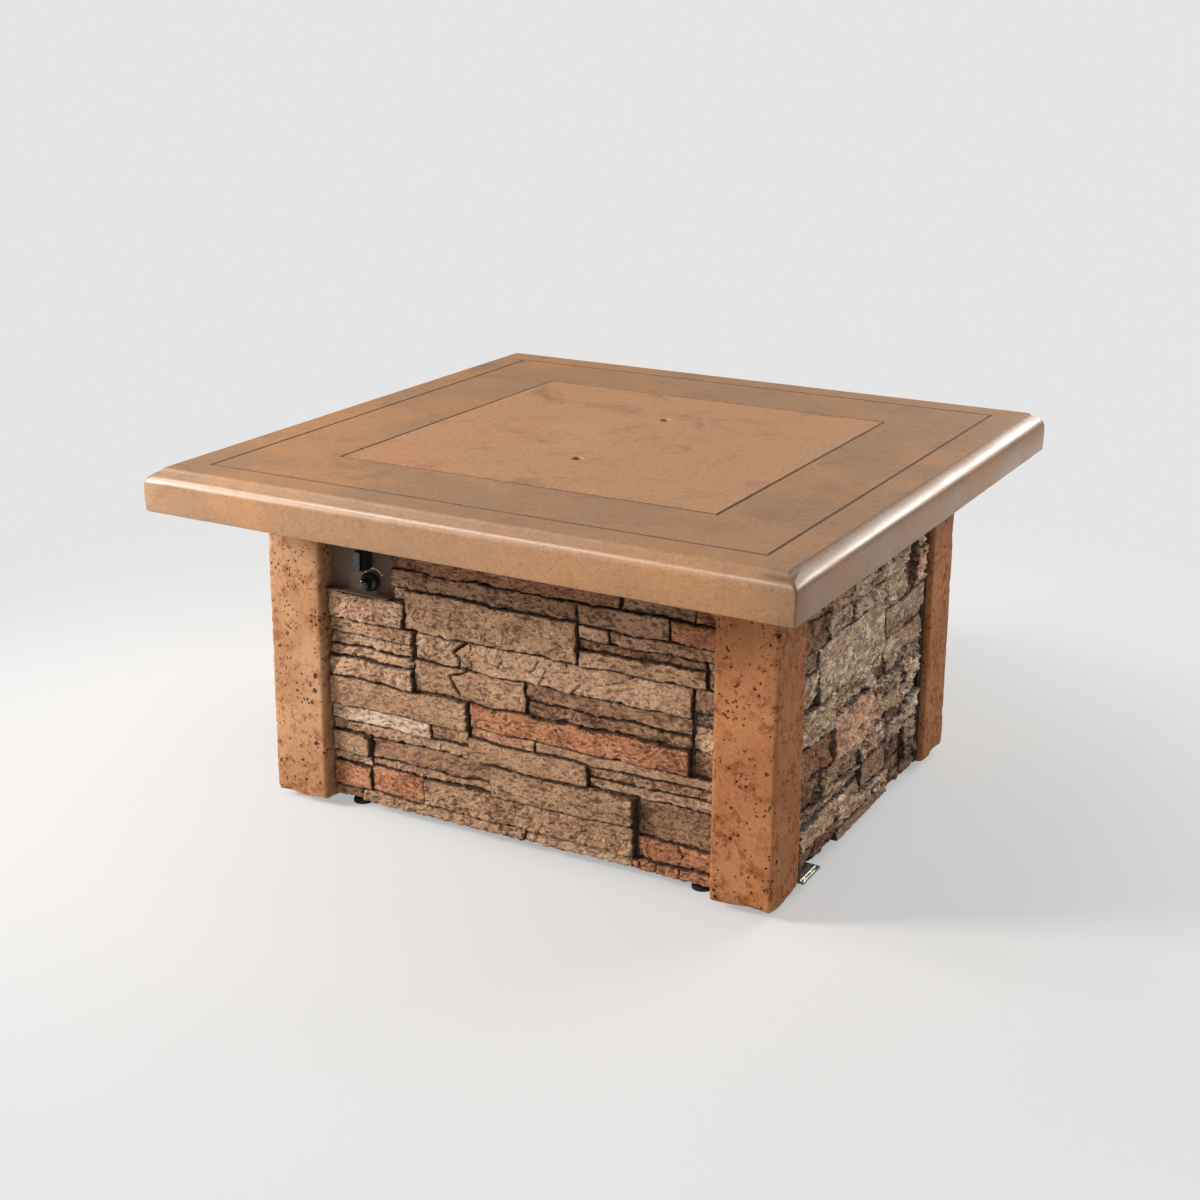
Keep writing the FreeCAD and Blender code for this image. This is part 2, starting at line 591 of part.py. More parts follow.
def pilot_parts():
    """Bracket, pilot burner, flame probe and spark electrode, in that order."""
    top = PAN_FLOOR + BRACKET_THICKNESS
    bracket = box(PILOT_X - BRACKET_LENGTH / 2, PILOT_X + BRACKET_LENGTH / 2,
                  PILOT_Y - BRACKET_WIDTH / 2, PILOT_Y + BRACKET_WIDTH / 2, PAN_FLOOR, top)
    low = PAN_BOTTOM - PILOT_DROP
    rise = top - low
    at_burner = V(PILOT_X, PILOT_Y, low)
    at_probe = V(PILOT_X + PILOT_SPACING, PILOT_Y, low)
    at_spark = V(PILOT_X - PILOT_SPACING, PILOT_Y, low)
    bores = ((at_burner, PILOT_TUBE_RADIUS), (at_probe, PROBE_RADIUS), (at_spark, CERAMIC_RADIUS))
    for point, radius in bores:
        bracket = bracket.cut(rod(radius + SLIP, point, Z_AXIS, rise + 1))
    burner_top = rise + PILOT_RISE
    hood = burner_top - PILOT_HOOD_HEIGHT
    burner = turned([(0, 0), (PILOT_TUBE_RADIUS, 0), (PILOT_TUBE_RADIUS, hood),
                     (PILOT_HOOD_RADIUS, hood + 1.5), (PILOT_HOOD_RADIUS, burner_top), (0, burner_top)],
                    at_burner, Z_AXIS)
    probe = turned([(0, 0), (PROBE_RADIUS, 0), (PROBE_RADIUS, rise + PROBE_RISE - 2),
                    (PROBE_RADIUS - 1.2, rise + PROBE_RISE), (0, rise + PROBE_RISE)], at_probe, Z_AXIS)
    shoulder = rise + CERAMIC_RISE
    tip = shoulder + SPARK_ROD_RISE
    spark = turned([(0, 0), (CERAMIC_RADIUS, 0), (CERAMIC_RADIUS, shoulder), (SPARK_ROD_RADIUS, shoulder + 2),
                    (SPARK_ROD_RADIUS, tip), (0, tip)], at_spark, Z_AXIS)
    return bracket, burner, probe, spark


def frame_posts():
    """Four upright tubes, each in the back of a corner column."""
    def post(sx, sy):
        x0, x1 = sorted((sx * FRAME_X, sx * (FRAME_X - TUBE)))
        y0, y1 = sorted((sy * FRAME_Y, sy * (FRAME_Y - TUBE)))
        return square_tube(x0, x1, y0, y1, FRAME_LIFT, FRAME_TOP, TUBE_WALL, "z")
    return four_ways(post)


def frame_rails(z0):
    """Four rails between the posts at one level."""
    z1 = z0 + TUBE
    x = FRAME_X - TUBE
    y = FRAME_Y - TUBE
    rails = []
    for side in (-1, 1):
        y0, y1 = sorted((side * FRAME_Y, side * y))
        rails.append(square_tube(-x, x, y0, y1, z0, z1, TUBE_WALL, "x"))
        x0, x1 = sorted((side * FRAME_X, side * x))
        rails.append(square_tube(x0, x1, -y, y, z0, z1, TUBE_WALL, "y"))
    return rails


def foot_places():
    """Centres of the four levelling feet, under the front and back rails, with their names."""
    x = HALF_LENGTH - FOOT_FROM_END
    y = FRAME_Y - TUBE / 2
    return [("front_left", -x, -y), ("front_right", x, -y), ("back_left", -x, y), ("back_right", x, y)]


def hinge_bolt_places():
    """Centres of the two bolts that hold the lower hinge plate to the bottom rail."""
    x = FRAME_X - TUBE / 2
    y = PIVOT_Y + (HINGE_PLATE_LENGTH / 2 - 10)
    return [(x, y - 15), (x, y + 15)]


def bottom_rails():
    """Bottom rails, drilled for the feet and the hinge bolts."""
    rails = frame_rails(FRAME_LIFT)
    drills = []
    for _, x, y in foot_places():
        drills.append(rod(FOOT_STEM_RADIUS + 0.5, V(x, y, FRAME_LIFT - 1), Z_AXIS, TUBE_WALL + 2))
    for x, y in hinge_bolt_places():
        drills.append(rod(HINGE_BOLT_RADIUS + SLIP, V(x, y, FRAME_LIFT - 1), Z_AXIS, TUBE_WALL + 2))
    return [rail.cut(Part.makeCompound(drills)) for rail in rails]


def top_pads():
    """Rubber pads on the frame that carry the cast top."""
    x = FRAME_X - TUBE / 2
    y = FRAME_Y - TUBE / 2

    def pad(sx, sy):
        return rod(TOP_PAD_RADIUS, V(sx * x, sy * y, FRAME_TOP), Z_AXIS, TOP_PAD_THICKNESS)
    return four_ways(pad)


def corner_column(sx, sy):
    """Cast corner column: an angle in plan, softened on its outer corner, its edges and its foot."""
    z0 = FOOT_PLAY
    z1 = TOP_UNDERSIDE - SEAT_GAP
    block = box(0, COLUMN_SIZE, 0, COLUMN_SIZE, z0, z1)
    uprights = []
    foot_edges = []
    for edge in block.Edges:
        middle = edge.CenterOfMass
        outer = middle.x > COLUMN_SIZE - 1 or middle.y > COLUMN_SIZE - 1
        if abs(middle.z - (z0 + z1) / 2) < 1 and outer:
            uprights.append(edge)
        if abs(middle.z - z0) < 1 and outer:
            foot_edges.append(edge)
    block = block.makeFillet(COLUMN_ROUND, uprights)
    low_edges = [e for e in block.Edges if e.BoundBox.ZMax < z0 + 1 and
                 (e.CenterOfMass.x > COLUMN_LEG / 2 and e.CenterOfMass.y > COLUMN_LEG / 2)]
    block = block.makeChamfer(COLUMN_FOOT_CHAMFER, low_edges)
    inner = COLUMN_SIZE - COLUMN_LEG
    block = block.cut(box(-1, inner, -1, inner, z0 - 1, z1 + 1))
    quarter = {(1, 1): 0, (-1, 1): 90, (-1, -1): 180, (1, -1): 270}[(sx, sy)]
    block.rotate(V(0, 0, 0), Z_AXIS, quarter)
    block.translate(V(sx * (HALF_LENGTH - COLUMN_SIZE), sy * (HALF_WIDTH - COLUMN_SIZE), 0))
    return block


def stone(course, scale_u, scale_v, number):
    """One split stone: U runs along +X, V along +Z, and it stands out from y = 0 towards -Y."""
    u0, u1, v0, v1, out = course
    half_joint = STONE_JOINT / 2
    wave = [STONE_RAGGED * (0.5 + 0.5 * math.sin(1.9 * number + 2.4 * k)) for k in range(4)]
    left = u0 * scale_u + half_joint
    right = u1 * scale_u - half_joint
    low = v0 * scale_v + half_joint
    high = v1 * scale_v - half_joint
    lean_u = STONE_TILT * math.sin(1.7 * number) / (right - left)
    lean_v = STONE_TILT * math.cos(2.3 * number) / (high - low)
    cut = min(STONE_CHAMFER, (right - left) / 5, (high - low) / 5)
    left_slope = (wave[3] - wave[0]) / (high - low)
    right_slope = (wave[1] - wave[2]) / (high - low)

    def ring(inset, depth, leaning):
        v_low = low + inset
        v_high = high - inset
        near = left + wave[0] + inset
        far = right - wave[1] - inset
        rise = v_high - low
        corners = [(near + left_slope * inset, v_low), (far + right_slope * inset, v_low),
                   (far + right_slope * rise, v_high), (near + left_slope * rise, v_high)]
        points = []
        for u, v in corners:
            lean = leaning * (lean_u * (u - (left + right) / 2) + lean_v * (v - (low + high) / 2))
            points.append(V(u, -(depth + lean), v))
        return points

    back = ring(0.0, 0.0, 0)
    brow = ring(0.0, out - cut, 1)
    face = ring(cut, out, 1)
    faces = [back[::-1], face]
    for k in range(4):
        n = (k + 1) % 4
        faces.append([back[k], back[n], brow[n], brow[k]])
        faces.append([brow[k], brow[n], face[n], face[k]])
    flats = [Part.Face(Part.makePolygon(points + [points[0]])) for points in faces]
    return Part.Solid(Part.Shell(flats))


def stone_panel(courses, laid_length, laid_height, length, height, origin, quarter_turns):
    """All the stones of one side, laid from the origin and turned about Z."""
    stones = []
    for number, course in enumerate(courses):
        piece = stone(course, length / laid_length, height / laid_height, number)
        piece.rotate(V(0, 0, 0), Z_AXIS, 90 * quarter_turns)
        piece.translate(origin)
        stones.append(piece)
    return stones


def mirrored(courses, laid_length):
    """The same courses laid from the other end."""
    return [(laid_length - u1, laid_length - u0, v0, v1, out) for u0, u1, v0, v1, out in courses]


def plate_screw_places():
    """The four corners of the control plate, inset."""
    left = NICHE_LEFT + PLATE_SCREW_INSET
    right = -BAY_X + NICHE_WIDTH - PLATE_SCREW_INSET
    low = NICHE_FLOOR + PLATE_SCREW_INSET
    high = FRAME_TOP - PLATE_SCREW_INSET - PANEL_GAP
    return [(left, low), (right, low), (left, high), (right, high)]


def valve_screw_places():
    """Centres of the two screws beside the stem that hold the valve to the plate."""
    return [(KNOB_X - VALVE_SCREW_REACH, KNOB_HEIGHT), (KNOB_X + VALVE_SCREW_REACH, KNOB_HEIGHT)]


def control_drills(radius_gap):
    """The holes for the igniter's barrel and the plate's screws."""
    deep = BACKER_THICKNESS + PLATE_THICKNESS + 2
    start_y = PLATE_FACE - 1
    drills = [rod(BARREL_RADIUS + radius_gap, V(BARREL_X, start_y, BARREL_Z), Y_AXIS, deep)]
    for x, z in plate_screw_places():
        drills.append(rod(SCREW_RADIUS + SLIP, V(x, start_y, z), Y_AXIS, deep))
    return drills


def front_backer():
    """Backer board of the front panel, drilled behind the control plate."""
    board = box(-BAY_X + PANEL_GAP, BAY_X - PANEL_GAP, -BACKER_FRONT, -FRAME_Y,
                STONE_LIFT, STONE_LIFT + PANEL_HEIGHT)
    boss = rod(VALVE_BOSS_RADIUS + 1, V(KNOB_X, PLATE_FACE - 1, KNOB_HEIGHT), Y_AXIS, BACKER_THICKNESS + 4)
    return board.cut(Part.makeCompound(control_drills(1.0) + [boss]))


def control_plate():
    """Sheet-metal plate of the control niche, with a sill folded forward at its foot."""
    plate = box(NICHE_LEFT, -BAY_X + NICHE_WIDTH, PLATE_FACE, -BACKER_FRONT,
                NICHE_FLOOR, FRAME_TOP - PANEL_GAP)
    plate = plate.fuse(box(NICHE_LEFT, -BAY_X + NICHE_WIDTH, PLATE_FACE - PLATE_SILL, PLATE_FACE,
                           NICHE_FLOOR, NICHE_FLOOR + PLATE_THICKNESS))
    drills = [rod(STEM_RADIUS + 1, V(KNOB_X, PLATE_FACE - 1, KNOB_HEIGHT), Y_AXIS, PLATE_THICKNESS + 2)]
    for x, z in valve_screw_places():
        drills.append(rod(SCREW_RADIUS + SLIP, V(x, PLATE_FACE - 1, z), Y_AXIS, PLATE_THICKNESS + 2))
    return plate.cut(Part.makeCompound(control_drills(SLIP) + drills))


def face_screw(x, z, length, head_radius):
    """One round-head screw driven into the control plate."""
    profile = [(0, -length), (SCREW_RADIUS, -length), (SCREW_RADIUS, 0), (head_radius, 0),
               (head_radius * 0.8, SCREW_HEAD_HEIGHT * 0.7), (0, SCREW_HEAD_HEIGHT)]
    return turned(profile, V(x, PLATE_FACE, z), -Y_AXIS)


def plate_screws():
    """Round-head screws at the plate's corners."""
    length = BACKER_THICKNESS + PLATE_THICKNESS
    return [face_screw(x, z, length, SCREW_HEAD_RADIUS) for x, z in plate_screw_places()]


def valve_screws():
    """Smaller screws through the plate into the valve's boss, hidden by the knob."""
    return [face_screw(x, z, VALVE_SCREW_LENGTH, SCREW_HEAD_RADIUS * 0.75) for x, z in valve_screw_places()]


def valve_ports():
    """Mouths of the valve's outlets: burner, pilot and probe, then the low inlet."""
    y = -BACKER_FRONT + VALVE_BOSS_LENGTH + VALVE_DEPTH + PORT_LENGTH
    burner = V(KNOB_X, y, KNOB_HEIGHT + PORT_DROP / 2)
    pilot = V(KNOB_X - PORT_SPREAD, y, KNOB_HEIGHT - PORT_DROP)
    probe = V(KNOB_X + PORT_SPREAD, y, KNOB_HEIGHT - PORT_DROP)
    return burner, pilot, probe


def gas_valve():
    """Cast valve body with a bored front boss and three outlet ports."""
    front = -BACKER_FRONT + VALVE_BOSS_LENGTH
    body = box(KNOB_X - VALVE_LENGTH / 2, KNOB_X + VALVE_LENGTH / 2, front, front + VALVE_DEPTH,
               KNOB_HEIGHT - VALVE_HEIGHT / 2, KNOB_HEIGHT + VALVE_HEIGHT / 2)
    body = body.makeChamfer(4.0, [e for e in body.Edges if abs(e.BoundBox.YLength - VALVE_DEPTH) < 0.1])
    boss = rod(VALVE_BOSS_RADIUS, V(KNOB_X, -BACKER_FRONT, KNOB_HEIGHT), Y_AXIS, VALVE_BOSS_LENGTH)
    shapes = [body, boss]
    for mouth, radius in zip(valve_ports(), (HOSE_PORT_RADIUS, PILOT_PORT_RADIUS, PROBE_PORT_RADIUS)):
        shapes.append(rod(radius, mouth - Y_AXIS * PORT_LENGTH, Y_AXIS, PORT_LENGTH))
    valve = fused(shapes)
    for x, z in valve_screw_places():
        valve = valve.cut(rod(SCREW_RADIUS + SLIP, V(x, PLATE_FACE - 1, z), Y_AXIS, VALVE_SCREW_LENGTH + 1.5))
    bore = KNOB_PUSH + VALVE_BOSS_LENGTH + 8
    return valve.cut(rod(STEM_RADIUS + SLIP, V(KNOB_X, -BACKER_FRONT - 1, KNOB_HEIGHT), Y_AXIS, bore))


def gas_inlet():
    """Flare fitting under the valve, where the supply hose screws on."""
    top = KNOB_HEIGHT - VALVE_HEIGHT / 2
    y = -BACKER_FRONT + VALVE_BOSS_LENGTH + VALVE_DEPTH / 2
    body = hexagon(INLET_HEX, V(KNOB_X, y, top - INLET_HEX_HEIGHT), Z_AXIS, INLET_HEX_HEIGHT)
    profile = [(0, 0), (INLET_RADIUS, 0), (INLET_RADIUS, INLET_LENGTH - 3), (INLET_BORE + 1, INLET_LENGTH),
               (0, INLET_LENGTH)]
    nose = turned(profile, V(KNOB_X, y, top - INLET_HEX_HEIGHT), -Z_AXIS)
    foot = top - INLET_HEX_HEIGHT - INLET_LENGTH
    return body.fuse(nose).cut(rod(INLET_BORE, V(KNOB_X, y, foot - 1), Z_AXIS, INLET_BORE_DEPTH))


def stem_end():
    """Outer end of the valve's stem along Y."""
    return -BACKER_FRONT + VALVE_BOSS_LENGTH + 3 - STEM_LENGTH


def valve_stem():
    """Round stem that slides in the valve's boss."""
    return rod(STEM_RADIUS, V(KNOB_X, stem_end(), KNOB_HEIGHT), Y_AXIS, STEM_LENGTH)


def control_knob():
    """Turned knob with a ribbed skirt, a cone and a crowned nose."""
    back = PLATE_FACE - KNOB_STANDOFF
    cone = KNOB_SKIRT_LENGTH + KNOB_CONE_LENGTH
    nose = cone + KNOB_NOSE_LENGTH
    knob = turned([(0, 0), (KNOB_SKIRT_RADIUS, 0), (KNOB_SKIRT_RADIUS, KNOB_SKIRT_LENGTH),
                   (KNOB_NOSE_RADIUS, cone), (KNOB_NOSE_RADIUS * 0.94, nose - KNOB_CROWN),
                   (KNOB_NOSE_RADIUS * 0.7, nose), (0, nose)], V(KNOB_X, back, KNOB_HEIGHT), -Y_AXIS)
    rim = KNOB_SKIRT_RADIUS + 1
    groove = Part.Face(Part.makePolygon([V(KNOB_SKIRT_RADIUS - KNOB_GROOVE, 1, 0), V(rim, 1, KNOB_GROOVE),
                                         V(rim, 1, -KNOB_GROOVE), V(KNOB_SKIRT_RADIUS - KNOB_GROOVE, 1, 0)]))
    cutter = groove.extrude(V(0, -cone, 0))
    cutter.translate(V(KNOB_X, back, KNOB_HEIGHT))
    grooves = []
    for k in range(KNOB_RIBS):
        copy = cutter.copy()
        copy.rotate(V(KNOB_X, back, KNOB_HEIGHT), Y_AXIS, 360 * k / KNOB_RIBS)
        grooves.append(copy)
    knob = knob.cut(Part.makeCompound(grooves))
    knob = knob.cut(rod(KNOB_HOLLOW_RADIUS, V(KNOB_X, back + 1, KNOB_HEIGHT), -Y_AXIS, KNOB_HOLLOW_DEPTH + 1))
    bore_depth = back - stem_end() + SLIP
    return knob.cut(rod(STEM_RADIUS + SLIP, V(KNOB_X, back + 1, KNOB_HEIGHT), -Y_AXIS, bore_depth + 1))


def igniter_body():
    """Igniter: a box on the plate, open at its front for the button, with a barrel through the board."""
    half = IGNITER_WIDTH / 2
    rise = IGNITER_HEIGHT / 2
    front = PLATE_FACE - IGNITER_REACH
    case = box(BARREL_X - half, BARREL_X + half, front, PLATE_FACE, BARREL_Z - rise, BARREL_Z + rise)
    barrel = rod(BARREL_RADIUS, V(BARREL_X, PLATE_FACE, BARREL_Z), Y_AXIS, BARREL_LENGTH)
    inner = half - BUTTON_WALL
    inner_rise = rise - BUTTON_WALL
    depth = BUTTON_INSERT + BUTTON_TRAVEL + 1
    pocket = box(BARREL_X - inner, BARREL_X + inner, front - 1, front + depth,
                 BARREL_Z - inner_rise, BARREL_Z + inner_rise)
    return case.fuse(barrel).cut(pocket)


def igniter_button():
    """Sprung push button in the igniter's mouth."""
    half = IGNITER_WIDTH / 2 - BUTTON_WALL - SEAT_GAP
    rise = IGNITER_HEIGHT / 2 - BUTTON_WALL - SEAT_GAP
    front = PLATE_FACE - IGNITER_REACH
    button = box(BARREL_X - half, BARREL_X + half, front - BUTTON_PROUD, front + BUTTON_INSERT,
                 BARREL_Z - rise, BARREL_Z + rise)
    return button.makeFillet(1.2, [e for e in button.Edges if e.BoundBox.YMax < front - BUTTON_PROUD + 0.1])


def igniter_nut():
    """Nut behind the board that clamps the igniter."""
    nut = hexagon(NUT_RADIUS, V(BARREL_X, -FRAME_Y, BARREL_Z), Y_AXIS, NUT_THICKNESS)
    return nut.cut(rod(BARREL_RADIUS + SLIP, V(BARREL_X, -FRAME_Y - 1, BARREL_Z), Y_AXIS, NUT_THICKNESS + 2))


def burner_hose():
    """Flexible gas hose from the valve's upper port to the hub's inlet."""
    port = valve_ports()[0]
    inlet = V(-HUB_INLET_REACH, 0, PAN_BOTTOM - HUB_DROP / 2)
    turns = [port + V(0, 55, 0), port + V(14, 130, 35), inlet + V(-158, -60, 0), inlet + V(-60, 0, 0)]
    return bent_tube([port] + turns + [inlet], HOSE_RADIUS, HOSE_SIDES)


def pilot_line():
    """Small pipe from the valve to the pilot burner, under the hose."""
    port = valve_ports()[1]
    end = V(PILOT_X, PILOT_Y, PAN_BOTTOM - PILOT_DROP)
    turns = [port + V(0, 35, 0), port + V(-5, 80, 5), end + V(-25, -20, -96), end + V(0, 0, -46)]
    return bent_tube([port] + turns + [end], PILOT_LINE_RADIUS, LEAD_SIDES)


def probe_lead():
    """Lead from the valve to the flame probe."""
    port = valve_ports()[2]
    end = V(PILOT_X + PILOT_SPACING, PILOT_Y, PAN_BOTTOM - PILOT_DROP)
    turns = [port + V(0, 30, -4), port + V(21, 75, 5), end + V(12, -30, -76), end + V(0, 0, -36)]
    return bent_tube([port] + turns + [end], LEAD_RADIUS, LEAD_SIDES)


def spark_lead():
    """Lead from the igniter's barrel to the spark electrode."""
    start = V(BARREL_X, PLATE_FACE + BARREL_LENGTH, BARREL_Z)
    end = V(PILOT_X - PILOT_SPACING, PILOT_Y, PAN_BOTTOM - PILOT_DROP)
    turns = [start + V(0, 40, 0), start + V(-5, 90, 28), end + V(-22, -30, -30), end + V(0, 0, -20)]
    return bent_tube([start] + turns + [end], LEAD_RADIUS, LEAD_SIDES)


def door_frame():
    """Welded tube frame of the door with a middle bar."""
    x0 = DOOR_BACK
    x1 = DOOR_BACK + DOOR_TUBE
    bars = []
    for y0 in (DOOR_NEAR + 1, DOOR_FAR - DOOR_TUBE - 1):
        bars.append(square_tube(x0, x1, y0, y0 + DOOR_TUBE, DOOR_BOTTOM, DOOR_TOP, DOOR_TUBE_WALL, "z"))
    low = DOOR_NEAR + 1 + DOOR_TUBE
    high = DOOR_FAR - DOOR_TUBE - 1
    for z0 in (DOOR_BOTTOM, (DOOR_BOTTOM + DOOR_TOP - DOOR_TUBE) / 2, DOOR_TOP - DOOR_TUBE):
        bars.append(square_tube(x0, x1, low, high, z0, z0 + DOOR_TUBE, DOOR_TUBE_WALL, "y"))
    return bars


def door_skin():
    """Sheet that carries the door's stones, notched over the lower arm and folded out at its far edge."""
    top = DOOR_TOP - 1
    skin = box(DOOR_FACE - DOOR_SKIN, DOOR_FACE, DOOR_NEAR, DOOR_FAR, DOOR_LIFT, top)
    fold = box(DOOR_FACE, DOOR_FACE + EDGE_FOLD_RISE, DOOR_FAR - EDGE_FOLD_WIDTH, DOOR_FAR, DOOR_LIFT, top)
    fold_near = DOOR_FAR - EDGE_FOLD_WIDTH + EDGE_FOLD_SHEET
    hollow = box(DOOR_FACE, DOOR_FACE + EDGE_FOLD_RISE - EDGE_FOLD_SHEET,
                 fold_near, DOOR_FAR - EDGE_FOLD_SHEET, DOOR_LIFT - 1, top + 1)
    notch = box(DOOR_FACE - DOOR_SKIN - 1, DOOR_FACE + 1, DOOR_NEAR - 1, DOOR_NEAR + ARM_LENGTH + 15,
                DOOR_LIFT - 1, DOOR_BOTTOM + 2)
    return skin.fuse(fold.cut(hollow)).cut(notch)


def hinge_arms():
    """Lower and upper arms of the door, each with the pivot's hole."""
    arms = []
    for z in (DOOR_BOTTOM - ARM_THICKNESS, DOOR_TOP):
        arm = box(DOOR_BACK, PIVOT_X + ARM_NOSE, DOOR_NEAR + 1, DOOR_NEAR + 1 + ARM_LENGTH,
                  z, z + ARM_THICKNESS)
        hole = rod(PIVOT_RADIUS + SLIP, V(PIVOT_X, PIVOT_Y, z - 1), Z_AXIS, ARM_THICKNESS + 2)
        arms.append(arm.cut(hole))
    return arms


def lower_hinge_plate():
    """Plate under the bottom rail with the door's lower pivot pin."""
    z0 = FRAME_LIFT - HINGE_PLATE
    y0 = PIVOT_Y - 10
    plate = box(FRAME_X - HINGE_PLATE_REACH, HALF_LENGTH + HINGE_PLATE_NOSE, y0, y0 + HINGE_PLATE_LENGTH,
                z0, FRAME_LIFT)
    pin = rod(PIVOT_RADIUS, V(PIVOT_X, PIVOT_Y, FRAME_LIFT), Z_AXIS, WASHER_THICKNESS + ARM_THICKNESS + 0.5)
    plate = plate.fuse(pin)
    for x, y in hinge_bolt_places():
        plate = plate.cut(rod(HINGE_BOLT_RADIUS + SLIP, V(x, y, z0 - 1), Z_AXIS, HINGE_PLATE + 2))
    return plate


def upper_hinge_plate():
    """Plate on the top rail with the door's upper pivot pin."""
    y0 = PIVOT_Y - 10
    plate = box(FRAME_X - HINGE_PLATE_REACH, HALF_LENGTH + 1, y0, y0 + HINGE_PLATE_LENGTH,
                FRAME_TOP, FRAME_TOP + TOP_HINGE_PLATE)
    reach = FRAME_TOP - DOOR_TOP + 1
    return plate.fuse(rod(PIVOT_RADIUS, V(PIVOT_X, PIVOT_Y, FRAME_TOP), -Z_AXIS, reach))


def hinge_washer():
    """Thrust washer that the door turns on."""
    washer = rod(WASHER_RADIUS, V(PIVOT_X, PIVOT_Y, FRAME_LIFT), Z_AXIS, WASHER_THICKNESS)
    bore = rod(PIVOT_RADIUS + SLIP, V(PIVOT_X, PIVOT_Y, FRAME_LIFT - 1), Z_AXIS, WASHER_THICKNESS + 2)
    return washer.cut(bore)


def hinge_bolts():
    """Hexagon bolts through the lower hinge plate into the bottom rail."""
    z0 = FRAME_LIFT - HINGE_PLATE
    bolts = []
    for x, y in hinge_bolt_places():
        head = hexagon(HINGE_BOLT_HEAD, V(x, y, z0 - HINGE_BOLT_HEAD_HEIGHT), Z_AXIS, HINGE_BOLT_HEAD_HEIGHT)
        bolts.append(head.fuse(rod(HINGE_BOLT_RADIUS, V(x, y, z0), Z_AXIS, HINGE_PLATE + TUBE_WALL + 6)))
    return bolts


def catch_place():
    """Middle of the magnet catch along Y."""
    return DOOR_FAR - DOOR_TUBE - CATCH_LENGTH / 2 - 6


def magnet_catch():
    """Magnet block under the top rail."""
    y = catch_place()
    high = FRAME_TOP - TUBE
    return box(FRAME_X - TUBE + 2, DOOR_BACK - STRIKE_THICKNESS - SEAT_GAP,
               y - CATCH_LENGTH / 2, y + CATCH_LENGTH / 2, high - CATCH_HEIGHT, high)


def strike_plate():
    """Steel strip on the back of the door's top bar, opposite the magnet."""
    y = catch_place()
    high = FRAME_TOP - TUBE
    return box(DOOR_BACK - STRIKE_THICKNESS, DOOR_BACK, y - CATCH_LENGTH / 2, y + CATCH_LENGTH / 2,
               high - CATCH_HEIGHT + 1, high + 4)


def tank_tray():
    """Sheet tray across the bottom rails, with vent slots and a ring that locates the gas tank."""
    z0 = FRAME_LIFT + TUBE
    x1 = FRAME_X - TUBE - TRAY_END_GAP
    x0 = x1 - TRAY_LENGTH
    centre = (x0 + x1) / 2
    reach = FRAME_Y - TUBE + TRAY_LAP
    tray = box(x0, x1, -reach, reach, z0, z0 + TRAY_SHEET)
    ring = rod(TANK_RING_RADIUS + TANK_RING_WALL, V(centre, 0, z0 + TRAY_SHEET), Z_AXIS, TANK_RING_HEIGHT)
    ring = ring.cut(rod(TANK_RING_RADIUS, V(centre, 0, z0 + TRAY_SHEET), Z_AXIS, TANK_RING_HEIGHT))
    tray = tray.fuse(ring)
    middle = (TANK_RING_RADIUS + TANK_RING_WALL + reach - TRAY_LAP) / 2
    half = TRAY_SLOT_LENGTH / 2
    for side in (-1, 1):
        for step in (-1, 1):
            y = side * middle + step * TRAY_SLOT_WIDTH
            slot = box(centre - half, centre + half, y - TRAY_SLOT_WIDTH / 2, y + TRAY_SLOT_WIDTH / 2,
                       z0 - 1, z0 + TRAY_SHEET + 1)
            tray = tray.cut(slot)
    return tray


def levelling_foot(x, y):
    """Glide disc with its threaded stem."""
    rise = FRAME_LIFT + FOOT_STEM_RISE
    profile = [(0, 0), (FOOT_RADIUS, 0), (FOOT_RADIUS, FOOT_THICKNESS - 3), (FOOT_RADIUS - 3, FOOT_THICKNESS),
               (FOOT_STEM_RADIUS, FOOT_THICKNESS), (FOOT_STEM_RADIUS, rise), (0, rise)]
    return turned(profile, V(x, y, 0), Z_AXIS)


def foot_nuts():
    """Weld nuts under the rails that take the feet."""
    nuts = []
    for _, x, y in foot_places():
        low = V(x, y, FRAME_LIFT - FOOT_NUT_HEIGHT)
        nut = hexagon(FOOT_NUT_HEX, low, Z_AXIS, FOOT_NUT_HEIGHT)
        nuts.append(nut.cut(rod(FOOT_STEM_RADIUS + SLIP, low - Z_AXIS, Z_AXIS, FOOT_NUT_HEIGHT + 2)))
    return nuts


def save(node, shape):
    """Write one node, from a solid or a list of separate solids."""
    if isinstance(shape, list):
        shape = Part.makeCompound(shape)
    print(node, "solids", len(shape.Solids), "valid", shape.isValid(), "volume", round(shape.Volume))
    shape.exportStep("parts/" + node + ".step")


